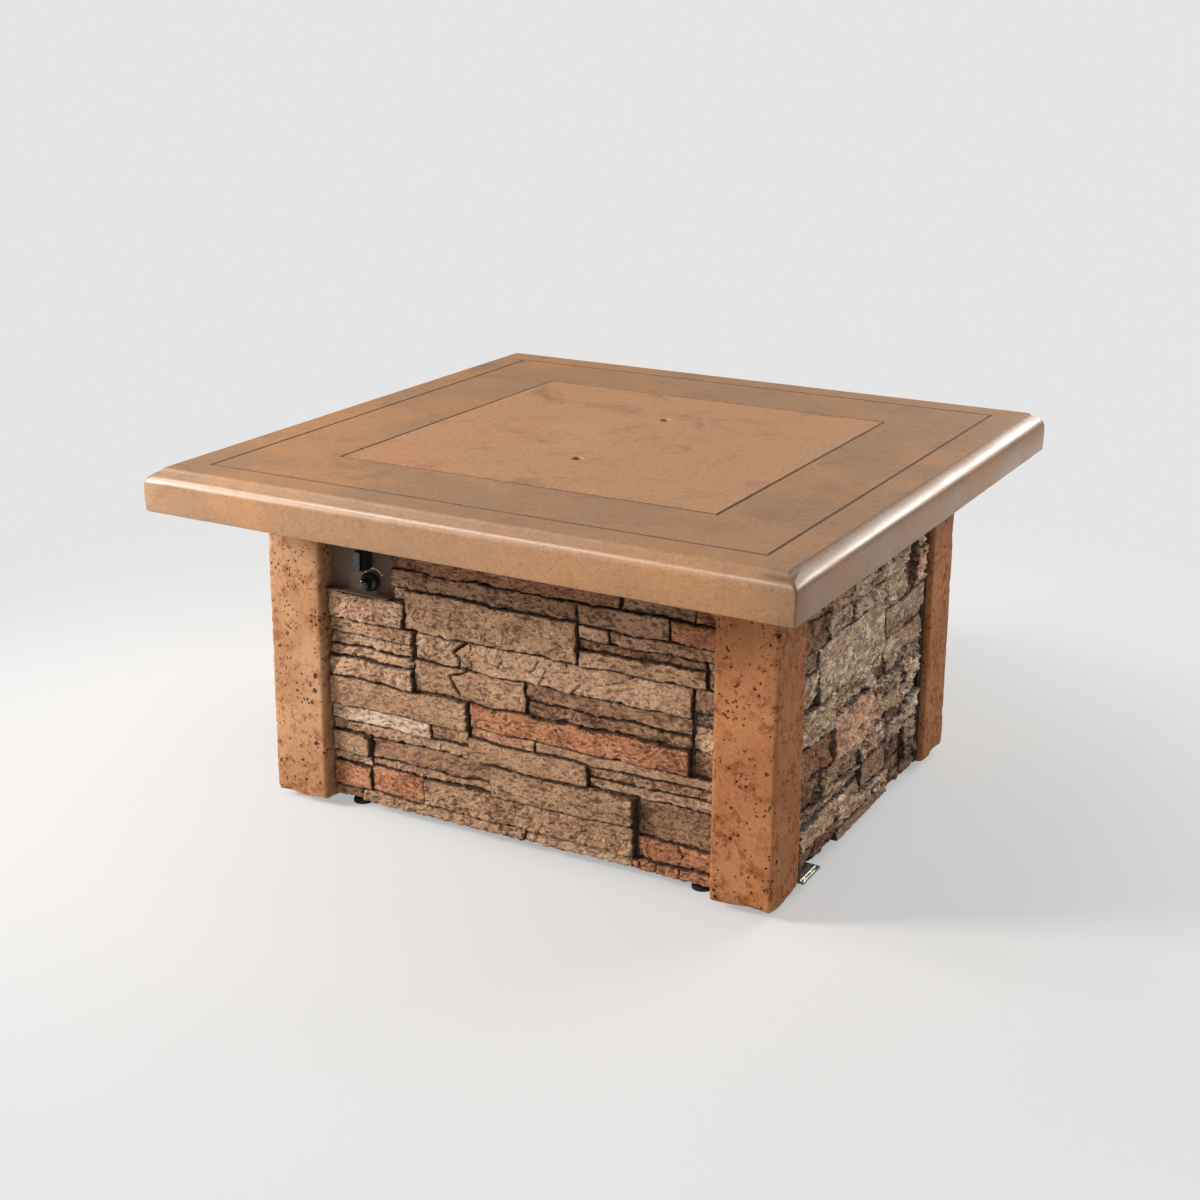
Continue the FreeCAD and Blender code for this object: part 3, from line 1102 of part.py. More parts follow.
def main():
    """Build every node and write its file."""
    os.makedirs("parts", exist_ok=True)
    save("table_top", table_top())
    save("burner_lid", burner_lid())
    save("lid_pads", lid_pads())
    save("top_pads", top_pads())
    save("frame_posts", frame_posts())
    save("frame_bottom_rails", bottom_rails())
    save("frame_top_rails", frame_rails(FRAME_TOP - TUBE))
    corners = (("front_left", -1, -1), ("front_right", 1, -1), ("back_left", -1, 1), ("back_right", 1, 1))
    for name, sx, sy in corners:
        save("column_" + name, corner_column(sx, sy))
    z1 = STONE_LIFT + PANEL_HEIGHT
    save("front_backer", front_backer())
    save("back_backer", box(-BAY_X + PANEL_GAP, BAY_X - PANEL_GAP, FRAME_Y, BACKER_FRONT, STONE_LIFT, z1))
    side = FRAME_X + BACKER_THICKNESS
    save("left_backer", box(-side, -FRAME_X, -BAY_Y + PANEL_GAP, BAY_Y - PANEL_GAP, STONE_LIFT, z1))
    long_side = 2 * (BAY_X - PANEL_GAP)
    short_side = 2 * (BAY_Y - PANEL_GAP)
    save("front_stones", stone_panel(LONG_COURSES, LAID_LENGTH, LAID_HEIGHT, long_side, PANEL_HEIGHT,
                                     V(-long_side / 2, -BACKER_FRONT, STONE_LIFT), 0))
    back_courses = mirrored(LONG_COURSES + NICHE_COURSES, LAID_LENGTH)
    save("back_stones", stone_panel(back_courses, LAID_LENGTH, LAID_HEIGHT, long_side, PANEL_HEIGHT,
                                    V(long_side / 2, BACKER_FRONT, STONE_LIFT), 2))
    left_courses = mirrored(SHORT_COURSES, SHORT_LENGTH)
    save("left_stones", stone_panel(left_courses, SHORT_LENGTH, SHORT_HEIGHT, short_side, PANEL_HEIGHT,
                                    V(-side, short_side / 2, STONE_LIFT), 3))
    door_length = DOOR_FAR - DOOR_STONE_INSET - DOOR_NEAR
    save("door_stones", stone_panel(SHORT_COURSES, SHORT_LENGTH, SHORT_HEIGHT, door_length, DOOR_STONE_HEIGHT,
                                    V(DOOR_FACE, DOOR_NEAR, DOOR_LIFT), 1))
    save("door_skin", door_skin())
    save("door_frame", door_frame())
    save("door_hinge_arms", hinge_arms())
    save("strike_plate", strike_plate())
    save("magnet_catch", magnet_catch())
    save("lower_hinge_plate", lower_hinge_plate())
    save("upper_hinge_plate", upper_hinge_plate())
    save("hinge_washer", hinge_washer())
    save("hinge_bolts", hinge_bolts())
    save("tank_tray", tank_tray())
    save("burner_pan", burner_pan())
    save("burner_ring", burner_ring())
    save("burner_hub", burner_hub())
    save("hub_nut", hub_nut())
    save("glass_bed", glass_bed())
    save("pilot_shield", pilot_shield())
    pilot_names = ("pilot_bracket", "pilot_burner", "flame_probe", "spark_electrode")
    for name, shape in zip(pilot_names, pilot_parts()):
        save(name, shape)
    save("gas_valve", gas_valve())
    save("gas_inlet", gas_inlet())
    save("valve_stem", valve_stem())
    save("control_knob", control_knob())
    save("control_plate", control_plate())
    save("plate_screws", plate_screws())
    save("valve_screws", valve_screws())
    save("igniter_body", igniter_body())
    save("igniter_button", igniter_button())
    save("igniter_nut", igniter_nut())
    save("burner_hose", burner_hose())
    save("pilot_line", pilot_line())
    save("probe_lead", probe_lead())
    save("spark_lead", spark_lead())
    save("foot_nuts", foot_nuts())
    for name, x, y in foot_places():
        save("foot_" + name, levelling_foot(x, y))


main()
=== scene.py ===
import logging
import math
import random
from dataclasses import dataclass, field
from enum import Enum
from functools import partial
from typing import Callable, Iterable, Optional, Sequence, Union

import bmesh
import bpy
import numpy as np
from mathutils import Matrix, Vector


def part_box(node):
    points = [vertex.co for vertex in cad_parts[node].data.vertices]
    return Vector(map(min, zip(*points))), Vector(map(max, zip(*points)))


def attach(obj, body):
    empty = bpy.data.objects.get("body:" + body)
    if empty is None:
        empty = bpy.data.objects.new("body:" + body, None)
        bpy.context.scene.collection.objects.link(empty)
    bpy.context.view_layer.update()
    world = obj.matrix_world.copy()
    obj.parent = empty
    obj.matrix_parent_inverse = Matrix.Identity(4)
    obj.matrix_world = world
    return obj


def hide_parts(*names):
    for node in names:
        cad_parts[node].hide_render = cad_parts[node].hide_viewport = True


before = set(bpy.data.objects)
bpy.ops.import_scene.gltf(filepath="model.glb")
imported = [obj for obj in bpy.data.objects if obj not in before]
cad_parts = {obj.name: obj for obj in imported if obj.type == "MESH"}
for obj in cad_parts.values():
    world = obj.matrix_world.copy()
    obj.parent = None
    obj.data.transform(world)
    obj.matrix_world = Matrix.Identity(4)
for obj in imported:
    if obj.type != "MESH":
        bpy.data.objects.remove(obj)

LOG = logging.getLogger("fire_table")
MM = 0.001
Socket = Union[bpy.types.NodeSocket, float, int, Sequence[float]]
Links = dict[Union[str, int], Socket]


class Wall(Enum):
    """The four sides of the base, by the direction that each one faces."""
    FRONT = "front"
    RIGHT = "right"
    BACK = "back"
    LEFT = "left"


class Split(Enum):
    """How a stone's face was made."""
    SAWN = "sawn"
    PITCHED = "pitched"
    LAYERED = "layered"


class Tone(Enum):
    """The quarry tones of the ledgestone."""
    BUFF = "buff"
    SAND = "sand"
    CREAM = "cream"
    ROSE = "rose"
    CLAY = "clay"
    RUSSET = "russet"
    TAUPE = "taupe"
    UMBER = "umber"
    WALNUT = "walnut"
    BRONZE = "bronze"
    DRIFT = "drift"
    SILVER = "silver"
    SALMON = "salmon"


# Colours and nodes


def linear(code: str) -> tuple[float, float, float, float]:
    """Turn an sRGB hex colour into the linear values that a shader takes.

    Args:
        code: six hex digits after a hash.

    Returns:
        Linear red, green and blue, and an alpha of 1.
    """
    values = []
    for k in (1, 3, 5):
        c = int(code[k:k + 2], 16) / 255.0
        values.append(c / 12.92 if c <= 0.04045 else ((c + 0.055) / 1.055) ** 2.4)
    return values[0], values[1], values[2], 1.0


def per_mm(size_mm: float) -> float:
    """Turn the size of one feature in millimetres into a texture scale."""
    return 1000.0 / size_mm


def add(tree: bpy.types.NodeTree, kind: str, links: Optional[Links] = None, out: Union[int, str] = 0,
        **settings: object) -> Optional[bpy.types.NodeSocket]:
    """Add one node with its settings, values and links.

    Args:
        tree: the tree that the node goes into.
        kind: the node's type, without "ShaderNode" before it.
        links: for each input, the socket that feeds it or the value it holds.
        out: the output that is wanted.
        **settings: attributes of the node.

    Returns:
        The wanted output, or None from a node that has none.
    """
    node = tree.nodes.new("ShaderNode" + kind)
    for name, value in settings.items():
        setattr(node, name, value)
    for key, value in (links or {}).items():
        if isinstance(value, bpy.types.NodeSocket):
            tree.links.new(value, node.inputs[key])
        else:
            node.inputs[key].default_value = value
    return node.outputs[out] if len(node.outputs) else None


@dataclass(frozen=True)
class Grain:
    """A fractal pattern: its largest feature in millimetres, the octaves below it and their drag."""
    size: float
    detail: float = 4.0
    rough: float = 0.55
    twist: float = 0.0

    def on(self, place: bpy.types.NodeSocket) -> Links:
        """Return the inputs of a noise at these coordinates."""
        return {"Vector": place, "Scale": per_mm(self.size), "Detail": self.detail, "Roughness": self.rough,
                "Distortion": self.twist}


@dataclass(frozen=True)
class Band:
    """The part of a pattern from low to high that runs from a start value to an end value."""
    low: float
    high: float
    end: float = 1.0
    start: float = 0.0

    def of(self, value: Socket) -> Links:
        """Return the inputs of a map range on this value."""
        return {"Value": value, "From Min": self.low, "From Max": self.high, "To Min": self.start,
                "To Max": self.end}


# Settings that many map ranges and sums share
EASED = {"interpolation_type": "SMOOTHSTEP"}
TIMES = {"operation": "MULTIPLY"}


class Surface:
    """A material in the making: its colour and its relief so far, to which each step adds."""

    def __init__(self, name: str, base: str) -> None:
        """Start a material in one plain colour.

        Args:
            name: the material's name.
            base: its first colour as sRGB hex.
        """
        self.material = bpy.data.materials.new(name)
        self.material.use_nodes = True
        self.material.node_tree.nodes.clear()
        self.add = partial(add, self.material.node_tree)
        self.place = self.add("TexCoord", out="Object")
        self.colour: Socket = linear(base)
        self.normal: Optional[bpy.types.NodeSocket] = None

    def tint(self, code: str, value: Socket, band: Optional[Band] = None) -> None:
        """Lay a colour over what is there.

        Args:
            code: the colour as sRGB hex.
            value: how much of it shows, or the pattern that says so.
            band: the part of the pattern that counts, or None for the value as it is.
        """
        amount = self.add("MapRange", band.of(value), **EASED) if band else value
        links: Links = {"Factor": amount, 6: self.colour, 7: linear(code)}
        self.colour = self.add("Mix", links, 2, data_type="RGBA")

    def press(self, height: Socket, depth_mm: float, strength: float = 1.0) -> None:
        """Stack a relief on the relief so far.

        Args:
            height: the relief's pattern.
            depth_mm: how deep it is where the pattern runs from 0 to 1.
            strength: how much of it shows.
        """
        links: Links = {"Height": height, "Distance": depth_mm * MM, "Strength": strength}
        if self.normal is not None:
            links["Normal"] = self.normal
        self.normal = self.add("Bump", links)

    def bent(self, size_mm: float, reach_mm: float) -> bpy.types.NodeSocket:
        """Drag the coordinates about, so that cells on them lose their even shape.

        Args:
            size_mm: size of the dragging waves.
            reach_mm: how far they drag.

        Returns:
            The dragged coordinates.
        """
        drag = self.add("TexNoise", Grain(size_mm, 3.0, 0.5).on(self.place), "Color")
        links: Links = {0: drag, 1: [reach_mm * MM] * 3, 2: self.place}
        return self.add("VectorMath", links, operation="MULTIPLY_ADD")

    def finish(self, rough: Socket, others: Optional[Links] = None) -> bpy.types.Material:
        """Close the material with one principled shader.

        Args:
            rough: its roughness.
            others: the shader's other inputs.

        Returns:
            The finished material.
        """
        links: Links = {"Base Color": self.colour, "Roughness": rough, **(others or {})}
        if self.normal is not None:
            links["Normal"] = self.normal
        self.add("OutputMaterial", {"Surface": self.add("BsdfPrincipled", links)})
        return self.material


# Finishes


@dataclass(frozen=True)
class SealedConcrete:
    """Cast concrete, stained by hand and sealed: cloudy tan with pinholes under a satin coat."""
    name: str
    base: str = "#8e6b4d"
    warm: str = "#a07248"
    dark: str = "#725036"
    haze: str = "#aa8965"
    pinhole: str = "#3a281c"
    # Colour of the painted shade in the score groove and at the seat's edge
    groove: str = "#4a3423"
    stain: float = 0.55
    clouds_mm: float = 260.0
    haze_at: tuple[float, float, float] = (-110.0, 10.0, 613.0)
    haze_from: float = 40.0
    haze_to: float = 230.0

    def build(self) -> bpy.types.Material:
        """Lay clouds, haze, trowel marks and pinholes over the base.

        Returns:
            The material.
        """
        s = Surface(self.name, self.base)
        clouds = s.add("TexNoise", Grain(self.clouds_mm, 6, 0.6, 0.6).on(s.place))
        s.tint(self.warm, clouds, Band(0.42, 0.66))
        blots = s.add("TexNoise", Grain(self.clouds_mm * 0.45, 8, 0.68, 1.4).on(s.place))
        s.tint(self.dark, blots, Band(0.5, 0.72, self.stain))
        haze = s.add("Math", {0: self.hazy(s), 1: 0.65}, **TIMES)
        s.tint(self.haze, haze)
        swept = s.add("Mapping", {"Vector": s.place, "Scale": (1.0, 3.2, 1.0)})
        trowel = s.add("TexNoise", Grain(22, 6, 0.7, 0.3).on(swept))
        s.tint(self.haze, trowel, Band(0.35, 0.7, 0.16))
        # Sand grains of under a millimetre would not show, so they are drawn 3.2 mm wide
        s.tint(self.dark, s.add("TexNoise", Grain(3.2, 3, 0.6).on(s.place)), Band(0.52, 0.7, 0.75))
        mottle = s.add("TexNoise", Grain(9, 5, 0.7, 0.4).on(s.place))
        s.tint(self.dark, mottle, Band(0.52, 0.68, 0.36))
        s.tint(self.haze, mottle, Band(0.46, 0.34, 0.3))
        pits = self.pinholes(s)
        # Painted shade: the pinholes and the notches along the grooves are darkened
        s.tint(self.pinhole, s.add("Math", {0: pits, 1: 0.8}, **TIMES))
        s.press(trowel, 0.25, 0.5)
        s.press(s.add("TexNoise", Grain(3.2, 4, 0.6).on(s.place)), 0.12, 0.6)
        s.press(s.add("Math", {0: 1.0, 1: pits}, operation="SUBTRACT"), 0.8, 0.8)
        # Painted shade: the score groove and the seat's edge are darkened where recess is marked
        recess = s.add("Attribute", None, "Fac", attribute_name="recess")
        s.tint(self.groove, s.add("Math", {0: recess, 1: 0.75}, **TIMES))
        rough = s.add("MapRange", Band(0.3, 0.7, 0.72, 0.62).of(clouds), **EASED)
        rough = s.add("Math", {0: rough, 1: s.add("Math", {0: recess, 1: 0.25}, **TIMES)})
        nose = s.add("Attribute", None, "Fac", attribute_name="nose")
        rough = s.add("Math", {0: rough, 1: s.add("Math", {0: nose, 1: -0.28}, **TIMES)})
        return s.finish(rough, {"Specular IOR Level": 0.45})

    def hazy(self, s: Surface) -> bpy.types.NodeSocket:
        """Find the pale bloom about one place, broken up by clouds.

        Args:
            s: the surface.

        Returns:
            How hazy each point is.
        """
        spot = [c * MM for c in self.haze_at]
        far = s.add("VectorMath", {0: s.place, 1: spot}, "Value", operation="DISTANCE")
        close = s.add("MapRange", Band(self.haze_from * MM, self.haze_to * MM, 0.0, 1.0).of(far), **EASED)
        broken = s.add("TexNoise", Grain(120, 5).on(s.place))
        return s.add("Math", {0: close, 1: s.add("MapRange", Band(0.35, 0.7).of(broken), **EASED)}, **TIMES)

    def pinholes(self, s: Surface) -> bpy.types.NodeSocket:
        """Scatter rare pinholes over the flats and small notches along the edges of grooves.

        Args:
            s: the surface.

        Returns:
            1 in a hole and 0 beside it.
        """
        rare = s.add("MapRange", Band(0.5, 0.62).of(s.add("TexNoise", Grain(60, 3).on(s.place))), **EASED)
        hole = s.add("TexVoronoi", {"Vector": s.place, "Scale": per_mm(15)})
        hole = s.add("MapRange", Band(0.05, 0.085, 0.0, 1.0).of(hole), **EASED)
        hole = s.add("Math", {0: hole, 1: rare}, **TIMES)
        lip = s.add("Attribute", None, "Fac", attribute_name="lip")
        notch = s.add("TexVoronoi", {"Vector": s.place, "Scale": per_mm(11)})
        notch = s.add("MapRange", Band(0.17, 0.25, 0.0, 1.0).of(notch), **EASED)
        notch = s.add("Math", {0: notch, 1: s.add("MapRange", Band(0.2, 0.8).of(lip), **EASED)}, **TIMES)
        return s.add("Math", {0: hole, 1: notch}, operation="MAXIMUM")


@dataclass(frozen=True)
class PittedCastStone:
    """Dry-cast stone like travertine: clay orange with rust clouds, dark specks and open pits."""
    name: str
    base: str = "#9a6541"
    light: str = "#a8734c"
    rust: str = "#78421f"
    pit: str = "#1b0f06"

    def build(self) -> bpy.types.Material:
        """Lay rust and pits over the base.

        Returns:
            The material.
        """
        s = Surface(self.name, self.base)
        clouds = s.add("TexNoise", Grain(120, 6, 0.6, 0.7).on(s.place))
        s.tint(self.light, clouds, Band(0.38, 0.62))
        where = s.add("TexNoise", Grain(75, 5, 0.62, 0.6).on(s.place))
        where = s.add("MapRange", Band(0.4, 0.56).of(where), **EASED)
        fleck = s.add("TexNoise", Grain(13, 6, 0.68, 0.3).on(s.place))
        fleck = s.add("MapRange", Band(0.46, 0.58, 0.8).of(fleck), **EASED)
        s.tint(self.rust, s.add("Math", {0: fleck, 1: where}, **TIMES))
        s.tint(self.rust, s.add("TexNoise", Grain(24, 7, 0.7, 0.5).on(s.place)), Band(0.58, 0.7, 0.5))
        # Specks of a millimetre would not show, so they are drawn as coarse as 4.5 mm
        speck = s.add("TexNoise", Grain(4.5, 3, 0.65).on(s.place))
        s.tint(self.rust, speck, Band(0.57, 0.68, 0.6))
        pits = self.pits(s)
        # Painted shade: the pits are painted near black
        s.tint(self.pit, s.add("Math", {0: pits, 1: 0.9}, **TIMES))
        s.press(s.add("TexNoise", Grain(14, 6, 0.65).on(s.place)), 0.9, 0.5)
        s.press(speck, 0.35, 0.7)
        s.press(s.add("Math", {0: 1.0, 1: pits}, operation="SUBTRACT"), 2.6)
        rough = s.add("MapRange", Band(0.3, 0.7, 0.76, 0.6).of(clouds), **EASED)
        return s.finish(rough, {"Specular IOR Level": 0.12})

    def pits(self, s: Surface) -> bpy.types.NodeSocket:
        """Scatter ragged pits: many small ones of uneven size and a few large ones.

        Args:
            s: the surface.

        Returns:
            1 in a pit and 0 beside it.
        """
        bent = s.bent(6, 9)
        uneven = s.add("TexNoise", Grain(26, 4, 0.7).on(s.place))
        uneven = s.add("MapRange", Band(0.35, 0.65, -0.06, 0.13).of(uneven), **EASED)
        spread = s.add("TexNoise", Grain(50, 4, 0.6).on(s.place))
        spread = s.add("MapRange", Band(0.37, 0.49).of(spread), **EASED)
        small = s.add("Math", {0: s.add("TexVoronoi", {"Vector": bent, "Scale": per_mm(9)}), 1: uneven})
        small = s.add("MapRange", Band(0.17, 0.25, 0.0, 1.0).of(small), **EASED)
        small = s.add("Math", {0: small, 1: spread}, **TIMES)
        sparse = s.add("TexNoise", Grain(110, 3, 0.6).on(s.place))
        sparse = s.add("MapRange", Band(0.45, 0.57).of(sparse), **EASED)
        large = s.add("TexVoronoi", {"Vector": bent, "Scale": per_mm(34)})
        large = s.add("MapRange", Band(0.08, 0.15, 0.0, 1.0).of(large), **EASED)
        large = s.add("Math", {0: large, 1: sparse}, **TIMES)
        return s.add("Math", {0: small, 1: large}, operation="MAXIMUM")


@dataclass(frozen=True)
class Ledgestone:
    """Split quarry stone in one tone: gritty grains of two browns, thin beds, dirt with painted shade in
    joints and hollows, painted highlights.
    """
    name: str
    base: str
    light: str
    dark: str
    glint: float = 0.0
    facets_from: float = 0.3
    # Colour of the dirt and painted shade in joints, cracks and hollows
    dirt_and_shade: str = "#2c1b10"
    # Pale mica colour, painted on the ridges as glints
    mica_glint: str = "#ecd2b2"

    def build(self) -> bpy.types.Material:
        """Lay beds, flakes, grit, dirt with painted shade and painted highlights over the base, with painted
        mica glints where it glints.

        Returns:
            The material.
        """
        s = Surface(self.name, self.base)
        faceted = self.glint > self.facets_from
        # Facets stand in for more than half of the beds and the grit
        calm = 0.45 if faceted else 1.0
        s.tint(self.light, s.add("TexNoise", Grain(60, 5, 0.62, 0.5).on(s.place)), Band(0.36, 0.64))
        flat = s.add("Mapping", {"Vector": s.place, "Scale": (1.0, 1.0, 3.2)})
        bed = s.add("TexNoise", Grain(26, 8, 0.7, 0.9).on(flat))
        s.tint(self.dark, bed, Band(0.5, 0.66, 0.55))
        flake, facet = self.flakes(s, faceted)
        # The flakes' low parts are darkened: partly stain in the hollows, partly painted shade
        s.tint(self.dark, flake, Band(0.54, 0.28, 0.85))
        # Painted light and shade: each facet is painted lighter or darker, as facets facing the lamps
        # differently look
        if faceted:
            s.tint(self.dark, facet, Band(0.45, 0.25, 0.7))
            s.tint(self.light, facet, Band(0.55, 0.78, 0.65))
        # Painted highlight: the grain's crests and the flakes' ridges are painted lighter
        tip = s.add("Attribute", None, "Fac", attribute_name="tip")
        tip = s.add("MapRange", Band(0.1, 0.9, 0.7).of(tip), **EASED)
        crest_highlight = s.add("MapRange", Band(0.64, 0.92, 0.6).of(flake), **EASED)
        s.tint(self.light, s.add("Math", {0: crest_highlight, 1: tip}, operation="MAXIMUM"))
        # Quarry grit of half a millimetre would not show, so it is drawn as coarse as 4.2 mm
        grit = s.add("TexNoise", Grain(4.2, 4, 0.7).on(s.place))
        s.tint(self.light, grit, Band(0.54, 0.68, 0.4 * calm))
        s.tint(self.dark, grit, Band(0.46, 0.32, 0.6 * calm))
        s.tint(self.light, s.add("Attribute", None, "Fac", attribute_name="shift"), Band(0.0, 1.0, 0.25))
        # Joints, cracks and hollows darken: partly dirt, partly painted shade
        s.tint(self.dirt_and_shade, s.add("Attribute", None, "Fac", attribute_name="recess"), Band(0.1, 0.9, 0.9))
        s.press(bed, 3.0 * calm)
        s.press(flake, 6.2 if faceted else 4.4)
        s.press(grit, 2.0 * calm)
        if faceted:
            s.press(facet, 1.6)
        rough = s.add("MapRange", Band(0.35, 0.7, 0.6, 0.8).of(grit), **EASED)
        if self.glint:
            where = s.add("TexNoise", Grain(38, 4, 0.6, 0.6).on(s.place))
            where = s.add("MapRange", Band(0.36, 0.56).of(where), **EASED)
            # Painted highlight: pale mica colour on the ridges stands in for glints
            glint_sheet = s.add("MapRange", Band(0.6, 0.76, self.glint).of(flake), **EASED)
            glint_sheet = s.add("Math", {0: glint_sheet, 1: where}, **TIMES)
            s.tint(self.mica_glint, glint_sheet)
            rough = s.add("Math", {0: rough, 1: s.add("Math", {0: glint_sheet, 1: -0.45}, **TIMES)})
        return s.finish(rough, {"Specular IOR Level": 0.35 + 0.6 * self.glint})

    def flakes(self, s: Surface,
               faceted: bool) -> tuple[bpy.types.NodeSocket, Optional[bpy.types.NodeSocket]]:
        """Break the face into flakes, and a faceted one into long chips and ledges as well.

        Args:
            s: the surface.
            faceted: whether mica breaks the face into facets.

        Returns:
            The height of the face, and the finest facets or None.
        """
        broken = s.add("Mapping", {"Vector": s.place, "Scale": (1.0, 1.0, 1.9), "Rotation": (0.0, 0.2, 0.0)})
        links = {**Grain(13, 4, 0.6, 0.4).on(broken), "Offset": 1.0, "Gain": 1.6}
        flake = s.add("TexNoise", links, noise_type="RIDGED_MULTIFRACTAL")
        flake = s.add("Math", {0: flake, 1: 0.5}, **TIMES)
        if not faceted:
            return flake, None
        long = s.add("Mapping", {"Vector": s.bent(14, 12), "Scale": (1.0, 0.45, 1.1)})
        chip = s.add("TexVoronoi", {"Vector": long, "Scale": per_mm(9)}, "Color")
        chip = s.add("Math", {0: chip, 1: 0.45}, **TIMES)
        level = s.add("Mapping", {"Vector": s.place, "Scale": (1.0, 0.5, 3.0)})
        ledge = s.add("TexNoise", Grain(30, 7, 0.72, 0.4).on(level))
        ledge = s.add("Math", {0: chip, 1: s.add("Math", {0: ledge, 1: 0.35}, **TIMES)})
        flake = s.add("Math", {0: s.add("Math", {0: flake, 1: 0.3}, **TIMES), 1: ledge})
        return flake, s.add("TexVoronoi", {"Vector": long, "Scale": per_mm(5.5)}, "Color")


@dataclass(frozen=True)
class SheetMetal:
    """Rolled metal sheet or turned metal: fine directional scratches over a soft sheen."""
    name: str
    colour: str
    rough: float = 0.34
    along: tuple[float, float, float] = (0.12, 1.0, 1.0)
    stain: str = "#7c7466"
    stain_share: float = 0.12

    def build(self) -> bpy.types.Material:
        """Lay stains and scratches over the bare metal.

        Returns:
            The material.
        """
        s = Surface(self.name, self.colour)
        # Scratches of a tenth of a millimetre would not show, so they are drawn 1.6 mm wide
        drawn = s.add("Mapping", {"Vector": s.place, "Scale": self.along})
        lines = s.add("TexNoise", Grain(1.6, 3, 0.6).on(drawn))
        cloud = s.add("TexNoise", Grain(45, 5, 0.6, 0.4).on(s.place))
        s.tint(self.stain, cloud, Band(0.45, 0.75, self.stain_share))
        s.press(lines, 0.03, 0.35)
        rough = s.add("MapRange", Band(0.3, 0.7, 0.08, -0.07).of(lines), **EASED)
        return s.finish(s.add("Math", {0: rough, 1: self.rough}), {"Metallic": 1.0})


@dataclass(frozen=True)
class PowderCoat:
    """Stoved powder paint on steel: fine orange peel, a little dust in its hollows."""
    name: str
    colour: str
    dust: str
    rough: float = 0.5
    dust_share: float = 0.35
    gloss: float = 0.45

    def build(self) -> bpy.types.Material:
        """Lay dust and orange peel over the paint.

        Returns:
            The material.
        """
        s = Surface(self.name, self.colour)
        dust = s.add("TexNoise", Grain(60, 6, 0.66, 0.7).on(s.place))
        s.tint(self.dust, dust, Band(0.45, 0.75, self.dust_share))
        s.press(s.add("TexNoise", Grain(1.8, 2, 0.5).on(s.place)), 0.05, 0.5)
        rough = s.add("MapRange", Band(0.4, 0.7, 0.14).of(dust), **EASED)
        return s.finish(s.add("Math", {0: rough, 1: self.rough}), {"Specular IOR Level": self.gloss})


@dataclass(frozen=True)
class MouldedPlastic:
    """Injection-moulded plastic: even colour, spark-eroded skin and light rub marks."""
    name: str
    colour: str
    worn: str
    rough: float = 0.4
    texture_mm: float = 0.9

    def build(self) -> bpy.types.Material:
        """Lay rub marks and the mould's texture over the plastic.

        Returns:
            The material.
        """
        s = Surface(self.name, self.colour)
        rub = s.add("TexNoise", Grain(14, 5, 0.65, 0.8).on(s.place))
        s.tint(self.worn, rub, Band(0.52, 0.78, 0.4))
        s.press(s.add("TexNoise", Grain(self.texture_mm, 2).on(s.place)), 0.04, 0.4)
        rough = s.add("MapRange", Band(0.4, 0.75, 0.12, -0.04).of(rub), **EASED)
        return s.finish(s.add("Math", {0: rough, 1: self.rough}))


@dataclass(frozen=True)
class FibreCement:
    """Fibre-cement board, dark with the tile adhesive that shows in the joints."""
    name: str
    colour: str = "#51463c"
    light: str = "#6b6055"

    def build(self) -> bpy.types.Material:
        """Smear adhesive over the board.

        Returns:
            The material.
        """
        s = Surface(self.name, self.colour)
        smear = s.add("TexNoise", Grain(30, 7, 0.7, 0.9).on(s.place))
        s.tint(self.light, smear, Band(0.45, 0.7, 0.8))
        s.press(s.add("TexNoise", Grain(5, 5, 0.7).on(s.place)), 0.8, 0.8)
        return s.finish(s.add("MapRange", Band(0.3, 0.7, 0.95, 0.82).of(smear), **EASED))


@dataclass(frozen=True)
class CrushedGlass:
    """Tempered glass nuggets: smoky body with a hard gloss and green-grey cut edges."""
    name: str
    colour: str = "#5c6468"
    edge: str = "#a9b6b4"

    def build(self) -> bpy.types.Material:
        """Vary the glass from nugget to nugget.

        Returns:
            The material.
        """
        s = Surface(self.name, self.colour)
        nugget = s.add("TexVoronoi", {"Vector": s.place, "Scale": per_mm(14)}, "Color")
        cloud = s.add("TexNoise", Grain(11, 4, 0.6).on(s.place))
        s.tint(self.edge, cloud, Band(0.35, 0.7, 0.7))
        s.colour = s.add("Mix", {"Factor": 0.12, 6: s.colour, 7: nugget}, 2, data_type="RGBA",
                         blend_type="SOFT_LIGHT")
        s.press(s.add("TexNoise", Grain(6, 3).on(s.place)), 0.5, 0.4)
        rough = s.add("MapRange", Band(0.3, 0.7, 0.2, 0.06).of(cloud), **EASED)
        return s.finish(rough, {"IOR": 1.5, "Transmission Weight": 0.35})


@dataclass(frozen=True)
class Enamel:
    """Screen-printed mark: flat pale ink, a little worn."""
    name: str
    colour: str = "#e4e2dd"
    worn: str = "#8b847c"

    def build(self) -> bpy.types.Material:
        """Wear the ink.

        Returns:
            The material.
        """
        s = Surface(self.name, self.colour)
        wear = s.add("TexNoise", Grain(2.0, 4, 0.7).on(s.place))
        s.tint(self.worn, wear, Band(0.55, 0.75, 0.5))
        return s.finish(s.add("MapRange", Band(0.3, 0.7, 0.6, 0.45).of(wear), **EASED))


